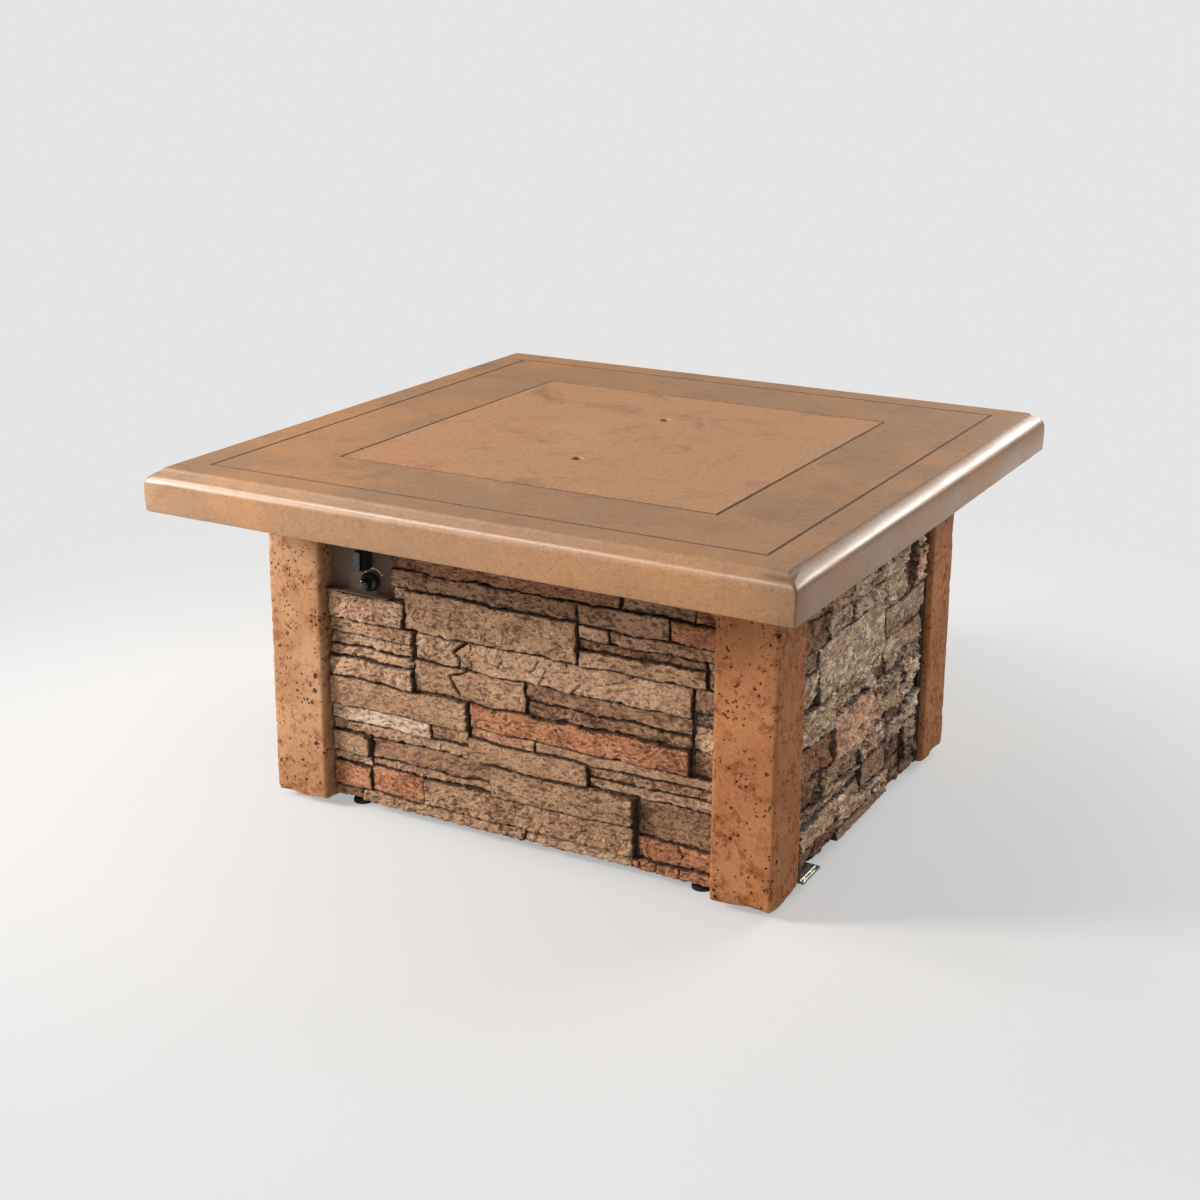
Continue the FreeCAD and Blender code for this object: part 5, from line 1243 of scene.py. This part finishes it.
@dataclass
class CastColumn:
    """Cast-stone corner column, an angle in plan with worn arrises and a ragged foot; in millimetres."""
    corner: str
    finish: str = "pitted_cast_stone"
    leg: float = 44.0
    arris: float = 6.0
    step: float = 5.0
    worn_skin: float = 7.0
    foot_wear: float = 7.0
    wide_wear: Wave = Wave(70, 110)
    small_wear: Wave = Wave(17, 24, start=(0, 500))

    def build(self, palette: Palette) -> bpy.types.Object:
        """Build the column and put it in place of its CAD node.

        Args:
            palette: the finishes.

        Returns:
            The column's object.
        """
        node = "column_" + self.corner
        low, high = (Vector(c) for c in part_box(node))
        middle = (low + high) / 2
        sx, sy = math.copysign(1, middle.x), math.copysign(1, middle.y)
        size = high.x - low.x
        inner = size - self.leg * MM
        bm = bmesh.new()
        plan = [(0, inner), (inner, inner), (inner, 0), (size, 0), (size, size), (0, size)]
        verts = [bm.verts.new((x, y, 0)) for x, y in plan]
        for a, b in zip(verts, verts[1:] + verts[:1]):
            bm.edges.new((a, b))
        corners = [v for v in verts if v.co.x > size - 1e-5 or v.co.y > size - 1e-5]
        bmesh.ops.bevel(bm, geom=corners, offset=self.arris * MM, offset_type="OFFSET", segments=4,
                        profile=0.5, affect="VERTICES", material=-1)
        for edge in [e for e in bm.edges if e.calc_length() > 2.5 * self.step * MM]:
            cuts = round(edge.calc_length() / (self.step * MM)) - 1
            bmesh.ops.subdivide_edges(bm, edges=[edge], cuts=cuts)
        ring = list(bm.edges)
        bmesh.ops.contextual_create(bm, geom=ring)
        rows = round((high.z - low.z) / (self.step * MM))
        for _ in range(rows):
            lifted = bmesh.ops.extrude_edge_only(bm, edges=ring)["geom"]
            tops = {g for g in lifted if isinstance(g, bmesh.types.BMVert)}
            ring = [g for g in lifted if isinstance(g, bmesh.types.BMEdge) and tops.issuperset(g.verts)]
            bmesh.ops.translate(bm, vec=(0, 0, (high.z - low.z) / rows), verts=list(tops))
        bmesh.ops.contextual_create(bm, geom=ring)
        bmesh.ops.recalc_face_normals(bm, faces=bm.faces)
        self.wear(bm, size, inner)
        place = Matrix.Translation((middle.x - sx * size / 2, middle.y - sy * size / 2, low.z))
        bmesh.ops.transform(bm, matrix=place @ Matrix.Diagonal((sx, sy, 1, 1)), verts=bm.verts)
        bmesh.ops.recalc_face_normals(bm, faces=bm.faces)
        piece = as_object(bm, "cast_" + node, "base", [palette[self.finish]], 40.0)
        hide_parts(node)
        return piece

    def wear(self, bm: bmesh.types.BMesh, size: float, inner: float) -> None:
        """Wear the outer faces, the arrises and the foot inwards, never outwards.

        Args:
            bm: the column, its outer corner away from the origin.
            size: its outer size in metres.
            inner: where its inner pocket ends.
        """
        weather = Weather(sum(ord(c) for c in self.corner))
        outer = [v for v in bm.verts if v.co.x > inner + 1e-4 or v.co.y > inner + 1e-4]
        x, y, z = (np.array([v.co[k] for v in outer]) / MM for k in range(3))
        wave = weather.fractal(x - y, z, self.wide_wear)
        bite = np.clip(weather.fractal(x - y, z, self.small_wear) - 0.12, 0.0, None)
        full = size / MM
        arris = np.exp(-(2 * full - x - y) / 9.0)
        foot = np.exp(-z / 7.0) * (0.5 + 0.8 * np.clip(wave + 0.4, 0.0, None))
        inward = np.clip(0.25 + 0.35 * wave + arris * 2.6 * bite + foot * self.foot_wear * 0.45, 0.0, None)
        for k, vert in enumerate(outer):
            if x[k] > full - self.worn_skin:
                vert.co.x -= inward[k] * MM
            if y[k] > full - self.worn_skin:
                vert.co.y -= inward[k] * MM
            if z[k] < 0.01:
                vert.co.z += max(0.0, 0.8 + 2.6 * wave[k]) * MM


# Cast top and lid


@dataclass
class CastTop:
    """Cast top: one ring of a drawn profile, mitred and a little uneven at its edge; in millimetres."""
    hole: float = 303.0
    seat: float = 341.0
    seat_deep: float = 17.5
    seat_arris: tuple[tuple[float, float], ...] = ((0.0, 2.6), (0.8, 1.0), (2.4, 0.0), (4.0, 0.0))
    score_at: float = 488.0
    score_half: float = 1.4
    score_deep: float = 1.7
    step_inset: float = 24.5
    bead: tuple[tuple[float, float], ...] = (
        (-3.2, 0.0), (-1.4, 0.0), (-0.7, 0.14), (-0.2, 0.55), (0.0, 1.2), (0.2, 2.3), (0.6, 2.75), (1.0, 2.5),
        (1.5, 2.25), (2.1, 2.4), (2.6, 2.9), (2.9, 3.8))
    slope_end: tuple[float, float] = (14.8, 10.4)
    slope_run: tuple[float, float] = (12.5, 6.9)
    nose_radius: float = 17.3
    nose_deg: float = 59.0
    nose_parts: int = 10
    skirt: tuple[tuple[float, float], ...] = ((0.25, 31.0), (0.0, 38.0), (0.3, 50.0))
    foot: tuple[tuple[float, float], ...] = ((1.0, 2.0), (1.6, 0.5), (2.6, 0.0))
    pocket_outer: float = 506.5
    pocket_inner: tuple[float, float] = (478.5, 396.0)
    pocket_deep: float = 30.0
    uneven_from: float = 543.5
    nose_from: float = 545.0
    mitre_from: float = 556.8
    flat_skin: float = 4.0
    length_step: float = 26.0
    corner_round: float = 4.0

    def profile(self) -> list[tuple[float, float, float]]:
        """Draw the closed section from the hole outwards and back underneath.

        Returns:
            Half X, half Y and height of each point, in millimetres.
        """
        low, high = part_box("table_top")
        half, top, under = high[0] / MM, high[2] / MM, low[2] / MM
        step = half - self.step_inset
        rim = [(self.hole, under), (self.hole, top - self.seat_deep), (self.seat, top - self.seat_deep)]
        rim += [(self.seat + out, top - deep) for out, deep in self.seat_arris]
        groove = [(self.score_half + 2.2, 0.0), (self.score_half + 0.6, 0.0), (self.score_half, 0.3),
                  (0.3, self.score_deep)]
        rim += [(self.score_at - out, top - deep) for out, deep in groove]
        rim += [(self.score_at + out, top - deep) for out, deep in reversed(groove)]
        rim += [(step + out, top - deep) for out, deep in self.bead]
        end = (step + self.slope_end[0], top - self.slope_end[1])
        rim.append(end)
        slope = math.atan2(self.slope_run[1], self.slope_run[0])
        round_off = self.nose_radius
        centre = (end[0] - round_off * math.sin(slope), end[1] - round_off * math.cos(slope))
        for k in range(1, self.nose_parts + 1):
            a = math.pi / 2 - slope - math.radians(self.nose_deg) * k / self.nose_parts
            rim.append((centre[0] + round_off * math.cos(a), centre[1] + round_off * math.sin(a)))
        rim += [(half - back, top - deep) for back, deep in self.skirt]
        rim += [(half - back, under + up) for back, up in self.foot]
        rim += [(self.pocket_outer, under), (self.pocket_outer, under + self.pocket_deep)]
        section = [(r, r, z) for r, z in rim]
        return section + [(*self.pocket_inner, under + self.pocket_deep), (*self.pocket_inner, under)]

    def build(self, palette: Palette) -> bpy.types.Object:
        """Build the top and put it in place of its CAD node.

        Args:
            palette: the finishes.

        Returns:
            The top's object.
        """
        section = self.profile()
        bm = bmesh.new()
        rings = []
        for sx, sy in ((-1, -1), (1, -1), (1, 1), (-1, 1)):
            ring = [bm.verts.new((sx * x * MM, sy * y * MM, z * MM)) for x, y, z in section]
            rings.append([bm.edges.new((a, b)) for a, b in zip(ring, ring[1:] + ring[:1])])
        for k in range(4):
            bmesh.ops.bridge_loops(bm, edges=rings[k] + rings[(k + 1) % 4])
        bmesh.ops.recalc_face_normals(bm, faces=bm.faces)
        mitres = [e for e in bm.edges if self.is_mitre(e)]
        bmesh.ops.bevel(bm, geom=mitres, offset=self.corner_round * MM, offset_type="OFFSET", segments=3,
                        profile=0.5, affect="EDGES", material=-1, clamp_overlap=True)
        runs = [e for e in bm.edges if e.calc_length() > 0.55]
        cuts = round(2 * self.hole / self.length_step)
        bmesh.ops.subdivide_edges(bm, edges=runs, cuts=cuts, use_grid_fill=True)
        under, top = (corner[2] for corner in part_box("table_top"))
        self.unevenness(bm, under / MM)
        # recess marks the score groove and the seat's edge for the material's painted shade
        recess, lip, nose = (bm.verts.layers.float.new(name) for name in ("recess", "lip", "nose"))
        for vert in bm.verts:
            reach = max(abs(vert.co.x), abs(vert.co.y)) / MM
            flat = vert.co.z > top - self.flat_skin * MM
            from_score, from_seat = abs(reach - self.score_at) - self.score_half, reach - self.seat
            vert[recess] = float(flat and (from_score < 0.8 or -1.0 < from_seat < 2.0))
            vert[lip] = float(flat and (from_score < 1.6 or -1.0 < from_seat < 3.0))
            vert[nose] = float(reach > self.nose_from)
        piece = as_object(bm, "cast_concrete_top", "base", [palette["sealed_concrete_top"]], 32.0)
        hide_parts("table_top")
        return piece

    def is_mitre(self, edge: bmesh.types.BMEdge) -> bool:
        """Say whether an edge runs down one corner's mitre, outside the slope.

        Args:
            edge: an edge of the ring.

        Returns:
            True on the mitre's outer part.
        """
        a, b = (v.co for v in edge.verts)
        same_corner = a.x * b.x > 0 and a.y * b.y > 0
        diagonal = all(abs(abs(c.x) - abs(c.y)) < 1e-6 for c in (a, b))
        return same_corner and diagonal and min(abs(a.x), abs(b.x)) > self.mitre_from * MM

    def unevenness(self, bm: bmesh.types.BMesh, under: float) -> None:
        """Let the bull nose and the lower arris wander a little inwards, as a hand-finished casting does.

        Args:
            bm: the top's mesh.
            under: the height of its underside in millimetres.
        """
        weather = Weather(5)
        rim = [v for v in bm.verts if max(abs(v.co.x), abs(v.co.y)) > self.uneven_from * MM]
        x, y, z = (np.array([v.co[k] for v in rim]) / MM for k in range(3))
        round_it = np.where(np.abs(x) > np.abs(y), y + 2000, x)
        reach = np.maximum(np.abs(x), np.abs(y))
        inward = np.clip(0.3 + 0.4 * weather.fractal(round_it, z, Wave(110, 70)), 0.0, None)
        arris = np.clip(1.0 - (z - under) / 2.0, 0.0, 1.0)
        chip = np.clip(weather.fractal(round_it, z, Wave(14, 14, 2)), 0.0, None) * arris
        for k, vert in enumerate(rim):
            vert.co.x *= 1.0 - inward[k] / reach[k]
            vert.co.y *= 1.0 - inward[k] / reach[k]
            vert.co.z += 0.5 * chip[k] * MM


@dataclass
class CastLid:
    """Flush lid with eased edges and two finger holes; sizes in millimetres."""
    ease: float = 1.6
    holding_loop: float = 1.5
    hole_radius: float = 10.0
    hole_at: float = 157.0
    flare: tuple[float, float] = (-0.5, 2.5)
    smooth_deg: float = 32.0

    def build(self, palette: Palette) -> bpy.types.Object:
        """Build the lid and put it in place of its CAD node.

        Args:
            palette: the finishes.

        Returns:
            The lid's object.
        """
        low, high = (Vector(c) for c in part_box("burner_lid"))
        bm = bmesh.new()
        block(bm, low, high)
        brim = [e for e in bm.edges if all(v.co.z > high.z - 1e-5 for v in e.verts)]
        posts = [e for e in bm.edges if abs(e.verts[0].co.z - e.verts[1].co.z) > 1e-4]
        bmesh.ops.bevel(bm, geom=brim + posts, offset=self.ease * MM, offset_type="OFFSET", segments=3,
                        profile=0.5, affect="EDGES", material=-1)
        face = max(bm.faces, key=lambda f: f.normal.z * f.calc_area())
        bmesh.ops.inset_individual(bm, faces=[face], thickness=self.holding_loop * MM)
        # recess marks the eased edge round the lid for the material's painted shade in the gap
        recess = bm.verts.layers.float.new("recess")
        for vert in bm.verts:
            vert[recess] = 0.9 * (max(abs(vert.co.x), abs(vert.co.y)) > high.x - 0.8 * self.ease * MM)
        slab = as_object(bm, "cast_lid", "lid", [palette["sealed_concrete_lid"]], self.smooth_deg)
        self.drill(slab, low.z, high.z)
        bm = bmesh.new()
        bm.from_mesh(slab.data)
        for edge in bm.edges:
            edge.smooth = edge.calc_face_angle(math.pi) < math.radians(self.smooth_deg)
        bm.to_mesh(slab.data)
        bm.free()
        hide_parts("burner_lid")
        return slab

    def drill(self, slab: bpy.types.Object, under: float, top: float) -> None:
        """Drill and flare the finger holes.

        Args:
            slab: the lid.
            under: the height of its underside in metres.
            top: the height of its face.
        """
        bm = bmesh.new()
        narrow, wide = ((self.hole_radius + more) * MM for more in self.flare)
        for side in (-self.hole_at * MM, self.hole_at * MM):
            bmesh.ops.create_cone(bm, cap_ends=True, segments=48, radius1=self.hole_radius * MM,
                                  radius2=self.hole_radius * MM, depth=0.05,
                                  matrix=Matrix.Translation((0, side, (under + top) / 2)))
            bmesh.ops.create_cone(bm, cap_ends=True, segments=48, radius1=narrow, radius2=wide, depth=0.003,
                                  matrix=Matrix.Translation((0, side, top)))
        mesh = bpy.data.meshes.new("finger_drill")
        bm.to_mesh(mesh)
        bm.free()
        tool = bpy.data.objects.new("finger_drill", mesh)
        bpy.context.scene.collection.objects.link(tool)
        cut = slab.modifiers.new("finger_holes", "BOOLEAN")
        cut.object = tool
        cut.operation = "DIFFERENCE"
        cut.solver = "EXACT"
        cut.use_self = True
        bpy.context.view_layer.objects.active = slab
        slab.select_set(True)
        bpy.ops.object.modifier_apply(modifier=cut.name)
        bpy.data.objects.remove(tool)


# Control niche


@dataclass
class ControlNiche:
    """Printed marks of the control plate: a turning arc and three ticks, with no words; in millimetres."""
    knob_x: float = -276.0
    knob_z: float = 413.0
    face_y: float = -349.5
    radius: float = 19.5
    line: float = 1.3
    sweep_deg: tuple[float, float] = (-42.0, 48.0)
    sweep_parts: int = 18
    ticks: tuple[tuple[float, float], ...] = ((-52.0, 4.0), (0.0, 3.0), (58.0, 4.0))
    tick_half_deg: float = 2.0
    ink: float = 0.25

    def build(self, palette: Palette) -> bpy.types.Object:
        """Build the arc and ticks on the plate.

        Args:
            palette: the finishes.

        Returns:
            The marks' object.
        """
        bm = bmesh.new()
        self.arc(bm, (self.radius, self.radius + self.line), self.sweep_deg, self.sweep_parts)
        for angle, long in self.ticks:
            reach = (self.radius - 1.0, self.radius + long)
            self.arc(bm, reach, (angle - self.tick_half_deg, angle + self.tick_half_deg), 1)
        bmesh.ops.recalc_face_normals(bm, faces=bm.faces)
        piece = as_object(bm, "turning_marks", "base", [palette["pale_screen_print"]])
        return piece

    def arc(self, bm: bmesh.types.BMesh, reach: tuple[float, float], sweep: tuple[float, float],
            parts: int) -> None:
        """Spin a short inked bar about the knob's axis.

        Args:
            bm: the mesh it goes into.
            reach: its nearer and further radius in millimetres.
            sweep: its first and last angle from straight up, clockwise, in degrees.
            parts: steps of the spin.
        """
        centre = Vector((self.knob_x, self.face_y, self.knob_z)) * MM
        order = ((reach[0], 0.0), (reach[0], -self.ink), (reach[1], -self.ink), (reach[1], 0.0))
        verts = [bm.verts.new(centre + Vector((0, y * MM, r * MM))) for r, y in order]
        face = bm.faces.new(verts)
        turn = Matrix.Rotation(math.radians(sweep[0]), 3, Vector((0, 1, 0)))
        bmesh.ops.rotate(bm, cent=centre, matrix=turn, verts=verts)
        bmesh.ops.spin(bm, geom=[face], cent=centre, axis=(0, 1, 0), angle=math.radians(sweep[1] - sweep[0]),
                       steps=parts, use_merge=False)


@dataclass
class Knob:
    """Moulded knob with a fluted skirt, a waist and a domed nose; sizes in millimetres."""
    skirt: float = 16.5
    hollow: float = 4.5
    bore_play: float = 0.2
    flutes: int = 18
    flute_deep: float = 1.3
    fluted_from: float = 14.0
    fluted_to: float = 10.0

    def build(self, palette: Palette) -> bpy.types.Object:
        """Build the knob and put it in place of its CAD node.

        Args:
            palette: the finishes.

        Returns:
            The knob's object.
        """
        low, high = (Vector(c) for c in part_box("control_knob"))
        centre = (low + high) / 2
        long = high.y - low.y
        stem_low, stem_high = (Vector(c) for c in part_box("valve_stem"))
        bore = (stem_high.x - stem_low.x) / 2 / MM + self.bore_play
        deep = (high.y - stem_low.y) / MM + self.bore_play
        curve = [(0.0, deep), (bore, deep), (bore, self.hollow), (13.0, self.hollow), (13.0, 0.5),
                 (13.5, 0.0), (15.2, 0.0), (self.skirt, 1.4), (self.skirt, 8.2), (15.6, 9.6), (12.2, 12.6),
                 (10.6, 14.2), (10.0, 16.0), (9.7, 22.0), (9.2, 24.4), (8.0, 26.0), (6.0, 27.0), (3.0, 27.4),
                 (0.0, 27.5)]
        bm = bmesh.new()
        line = [bm.verts.new((centre.x + r * MM, high.y - min(y * MM, long), centre.z)) for r, y in curve]
        edges = [bm.edges.new((a, b)) for a, b in zip(line, line[1:])]
        bmesh.ops.spin(bm, geom=line + edges, cent=centre, axis=(0, 1, 0), angle=math.tau,
                       steps=self.flutes * 6, use_merge=True)
        bmesh.ops.remove_doubles(bm, verts=bm.verts, dist=1e-6)
        for vert in bm.verts:
            out = Vector((vert.co.x - centre.x, 0, vert.co.z - centre.z))
            from_back = (high.y - vert.co.y) / MM
            if out.length > self.fluted_from * MM and from_back < self.fluted_to:
                dip = 0.5 - 0.5 * math.cos(self.flutes * math.atan2(out.z, out.x))
                vert.co -= out.normalized() * (self.flute_deep * dip ** 2) * MM
        bmesh.ops.recalc_face_normals(bm, faces=bm.faces)
        piece = as_object(bm, "fluted_knob", "knob", [palette["black_gloss_abs"]], 38.0)
        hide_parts("control_knob")
        return piece


# Fire bowl


@dataclass
class FireGlass:
    """Crushed glass over a dark bed, dropped nugget by nugget on a jittered grid; sizes in millimetres."""
    nugget: float = 12.0
    pitch: float = 10.5
    shapes: int = 24
    bed_below: float = 9.0
    jitter: float = 0.35
    pilot_gap: float = 6.0
    sunk: tuple[float, float] = (6.5, 8.5)
    tilt: float = 0.6
    seed: int = 11

    def build(self, palette: Palette) -> bpy.types.Object:
        """Build the bed and put it in place of its CAD node.

        Args:
            palette: the finishes.

        Returns:
            The bed's object.
        """
        low, high = (Vector(c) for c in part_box("glass_bed"))
        dice = random.Random(self.seed)
        bm = bmesh.new()
        block(bm, low, high - Vector((0, 0, self.bed_below * MM)))
        bmesh.ops.recalc_face_normals(bm, faces=bm.faces)
        near, far = (Vector(c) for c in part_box("pilot_shield"))
        gap = self.pilot_gap * MM
        pitch = self.pitch * MM
        count = int((high.x - low.x) / pitch)
        start = low.x + (high.x - low.x - count * pitch) / 2
        shapes = [self.nugget_shape(dice) for _ in range(self.shapes)]
        for row in range(count):
            for column in range(count):
                x = start + (column + 0.5 + dice.uniform(-self.jitter, self.jitter)) * pitch
                y = start + (row + 0.5 + dice.uniform(-self.jitter, self.jitter)) * pitch
                if near.x - gap < x < far.x + gap and near.y - gap < y < far.y + gap:
                    continue
                place = Matrix.Translation((x, y, high.z - dice.uniform(*self.sunk) * MM))
                place = place @ Matrix.Rotation(dice.uniform(0, math.tau), 4, "Z")
                place = place @ Matrix.Rotation(dice.uniform(-self.tilt, self.tilt), 4, "X")
                shape = dice.choice(shapes)
                shape.transform(place)
                bm.from_mesh(shape)
                shape.transform(place.inverted())
        for shape in shapes:
            bpy.data.meshes.remove(shape)
        piece = as_object(bm, "crushed_glass", "base", [palette["smoky_fire_glass"]])
        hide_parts("glass_bed")
        return piece

    def nugget_shape(self, dice: random.Random) -> bpy.types.Mesh:
        """Break one nugget.

        Args:
            dice: the bed's own random source.

        Returns:
            Its mesh, about the origin.
        """
        bm = bmesh.new()
        bmesh.ops.create_icosphere(bm, subdivisions=1, radius=self.nugget / 2 * MM)
        stretch = Vector((dice.uniform(0.75, 1.25), dice.uniform(0.7, 1.1), dice.uniform(0.6, 0.95)))
        for vert in bm.verts:
            vert.co *= dice.uniform(0.72, 1.0)
        bmesh.ops.scale(bm, vec=stretch, verts=bm.verts)
        mesh = bpy.data.meshes.new("nugget")
        bm.to_mesh(mesh)
        bm.free()
        return mesh


# CAD nodes that keep their own shape


NODES_BY_FINISH: dict[str, tuple[str, ...]] = {
    "aluminium_pipe": ("pilot_line",),
    "black_gloss_abs": ("igniter_button",),
    "black_matt_abs": ("magnet_catch", "igniter_body", "igniter_nut", "foot_front_left", "foot_front_right",
                       "foot_back_left", "foot_back_right"),
    "black_powder_coat": ("frame_posts", "frame_bottom_rails", "frame_top_rails", "door_frame", "tank_tray"),
    "black_rubber": ("lid_pads", "top_pads"),
    "bronze_powder_coat": ("control_plate", "plate_screws"),
    "copper_sheath": ("flame_probe", "probe_lead"),
    "die_cast_zinc": ("gas_valve",),
    "fibre_cement_board": ("front_backer", "back_backer", "left_backer"),
    "graphite_powder_coat": ("door_skin",),
    "red_silicone_sleeve": ("spark_lead",),
    "stainless_sheet": ("burner_pan", "burner_ring", "pilot_shield", "pilot_bracket", "pilot_burner",
                        "burner_hose"),
    "turned_brass": ("hinge_washer", "burner_hub", "hub_nut", "gas_inlet", "valve_stem"),
    "white_ceramic": ("spark_electrode",),
    "zinc_plate": ("door_hinge_arms", "strike_plate", "lower_hinge_plate", "upper_hinge_plate", "hinge_bolts",
                   "valve_screws", "foot_nuts"),
}


def dress_nodes(palette: Palette) -> None:
    """Give each CAD node that stays its finish.

    Args:
        palette: the finishes.
    """
    for finish, nodes in NODES_BY_FINISH.items():
        for node in nodes:
            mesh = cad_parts[node].data
            mesh.materials.clear()
            mesh.materials.append(palette[finish])
            LOG.info("%s: %s", node, finish)


# Studio


@dataclass(frozen=True)
class SoftLamp:
    """One soft rectangular lamp: where it hangs from the table, its size in metres and its power in watts."""
    name: str
    direction: tuple[float, float, float]
    distance: float
    size: tuple[float, float]
    watts: float
    colour: str
    along: Optional[tuple[float, float, float]] = None
    gloss_only: bool = False


LAMPS = (
    SoftLamp("key", (-0.76, -0.56, 0.36), 4.0, (1.0, 0.9), 236.0, "#fff9f2"),
    SoftLamp("top", (-0.47, -0.405, 0.783), 3.8, (2.8, 0.4), 40.0, "#fffaf4", (1.0, 0.0, 0.1)),
    SoftLamp("gleam", (-0.47, -0.405, 0.783), 3.7, (2.8, 0.8), 130.0, "#fffaf4", (1.0, 0.0, 0.1), True),
    SoftLamp("rim", (0.42, 0.83, 0.38), 3.4, (2.4, 0.32), 96.0, "#fffaf3"),
    SoftLamp("fill", (0.25, -0.90, 0.30), 4.2, (2.4, 1.6), 20.0, "#ffffff"),
)


@dataclass
class Studio:
    """Pale floor, soft lamps and the camera at the photograph's angle; sizes in metres."""
    azimuth: float = 29.313
    pitch: float = 15.683
    roll: float = 0.259
    place: tuple[float, float, float] = (1.5029, -2.8058, 1.3973)
    lens: float = 57.717
    sensor: float = 36.0
    shift: tuple[float, float] = (0.0121, -0.0833)
    aim_height: float = 0.4
    floor_radius: float = 30.0
    floor_below: float = 0.0002
    shadow_reach: tuple[float, float] = (0.7, 1.9)
    paper: str = "#d2d2d2"
    pale: str = "#e5e5e5"
    room_light: float = 0.3

    def build(self) -> None:
        """Set up the floor, the world, the lamps and the camera."""
        self.floor()
        self.world()
        for lamp in LAMPS:
            self.hang(lamp)
        self.camera()
        bpy.context.scene.view_settings.view_transform = "Standard"

    def floor(self) -> None:
        """Lay a large disc that keeps the shadow near the table and fades to the backdrop's colour."""
        bm = bmesh.new()
        bmesh.ops.create_circle(bm, cap_ends=True, segments=96, radius=self.floor_radius)
        mesh = bpy.data.meshes.new("studio_floor")
        bm.to_mesh(mesh)
        bm.free()
        s = Surface("studio_paper", self.paper)
        far = s.add("VectorMath", {0: s.place, 1: (0, 0, 0)}, "Value", operation="DISTANCE")
        fade = s.add("MapRange", Band(*self.shadow_reach, 1.0, 0.5).of(far), **EASED)
        matt = s.add("BsdfDiffuse", {"Color": s.colour})
        glow = s.add("Emission", {"Color": linear(self.pale)})
        seen = s.add("LightPath", out="Is Camera Ray")
        mixed = s.add("MixShader", {0: s.add("Math", {0: fade, 1: seen}, **TIMES), 1: matt, 2: glow})
        s.add("OutputMaterial", {"Surface": mixed})
        mesh.materials.append(s.material)
        floor = bpy.data.objects.new("studio_floor", mesh)
        floor.location.z = -self.floor_below
        bpy.context.scene.collection.objects.link(floor)

    def world(self) -> None:
        """Light the room evenly and show the backdrop's colour to the camera."""
        world = bpy.data.worlds.new("studio")
        world.use_nodes = True
        tree = world.node_tree
        tree.nodes.clear()
        seen = add(tree, "LightPath", out="Is Camera Ray")
        soft = add(tree, "Background", {"Color": linear("#ffffff"), "Strength": self.room_light})
        pale = add(tree, "Background", {"Color": linear(self.pale), "Strength": 1.0})
        add(tree, "OutputWorld", {"Surface": add(tree, "MixShader", {0: seen, 1: soft, 2: pale})})
        bpy.context.scene.world = world

    def hang(self, lamp: SoftLamp) -> None:
        """Hang one lamp so that it faces the table.

        Args:
            lamp: where it hangs and how it shines.
        """
        data = bpy.data.lights.new(lamp.name, "AREA")
        data.shape = "RECTANGLE"
        data.size, data.size_y = lamp.size
        data.energy = lamp.watts
        data.color = linear(lamp.colour)[:3]
        light = bpy.data.objects.new(lamp.name, data)
        way = Vector(lamp.direction).normalized()
        light.location = way * lamp.distance + Vector((0, 0, self.aim_height))
        tall = way.cross(Vector(lamp.along or (-way.y, way.x, 0.0))).normalized()
        light.rotation_euler = Matrix((tall.cross(way), tall, way)).transposed().to_euler()
        light.visible_diffuse = not lamp.gloss_only
        bpy.context.scene.collection.objects.link(light)

    def camera(self) -> None:
        """Place the camera as the photograph was taken, with a small shift for its framing."""
        az, el, roll = (math.radians(a) for a in (self.azimuth, self.pitch, self.roll))
        back = Vector((math.sin(az) * math.cos(el), -math.cos(az) * math.cos(el), math.sin(el)))
        right = Vector((math.cos(az), math.sin(az), 0))
        up = back.cross(right)
        right, up = right * math.cos(roll) + up * math.sin(roll), up * math.cos(roll) - right * math.sin(roll)
        data = bpy.data.cameras.new("camera")
        data.sensor_fit = "HORIZONTAL"
        data.sensor_width = self.sensor
        data.lens = self.lens
        data.shift_x, data.shift_y = self.shift
        data.clip_end = 100.0
        camera = bpy.data.objects.new("camera", data)
        turn = Matrix((right, up, back)).transposed().to_4x4()
        camera.matrix_world = Matrix.Translation(self.place) @ turn
        bpy.context.scene.collection.objects.link(camera)
        bpy.context.scene.camera = camera


def main() -> None:
    """Build the studio and every piece, in order."""
    logging.basicConfig(level=logging.INFO, format="%(relativeCreated)6.0f ms  %(message)s")
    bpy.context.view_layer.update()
    Studio().build()
    palette = Palette()
    dress_nodes(palette)
    builders: list[Callable[[Palette], bpy.types.Object]] = [
        CastTop().build,
        CastLid().build,
        # The front-left column takes the paler copy, a painted sheen
        CastColumn("front_left", "pitted_cast_stone_painted_sheen").build,
        *(CastColumn(c).build for c in ("front_right", "back_left", "back_right")),
        StoneWall(Wall.FRONT, "front_stones", "base", 2.3, 1.0, FRONT_NOTES, FRONT_CRACKS,
                  FRONT_PATCHES).build,
        StoneWall(Wall.RIGHT, "door_stones", "door", 2.3, 1.9, DOOR_NOTES, chip=(27.0, 10.0)).build,
        StoneWall(Wall.BACK, "back_stones", "base", step=4.0, rough=1.1).build,
        StoneWall(Wall.LEFT, "left_stones", "base", step=4.0, rough=1.1).build,
        ControlNiche().build,
        Knob().build,
        FireGlass().build,
    ]
    for build in builders:
        piece = build(palette)
        LOG.info("done: %s", piece.name)


if __name__ == "__main__":
    main()
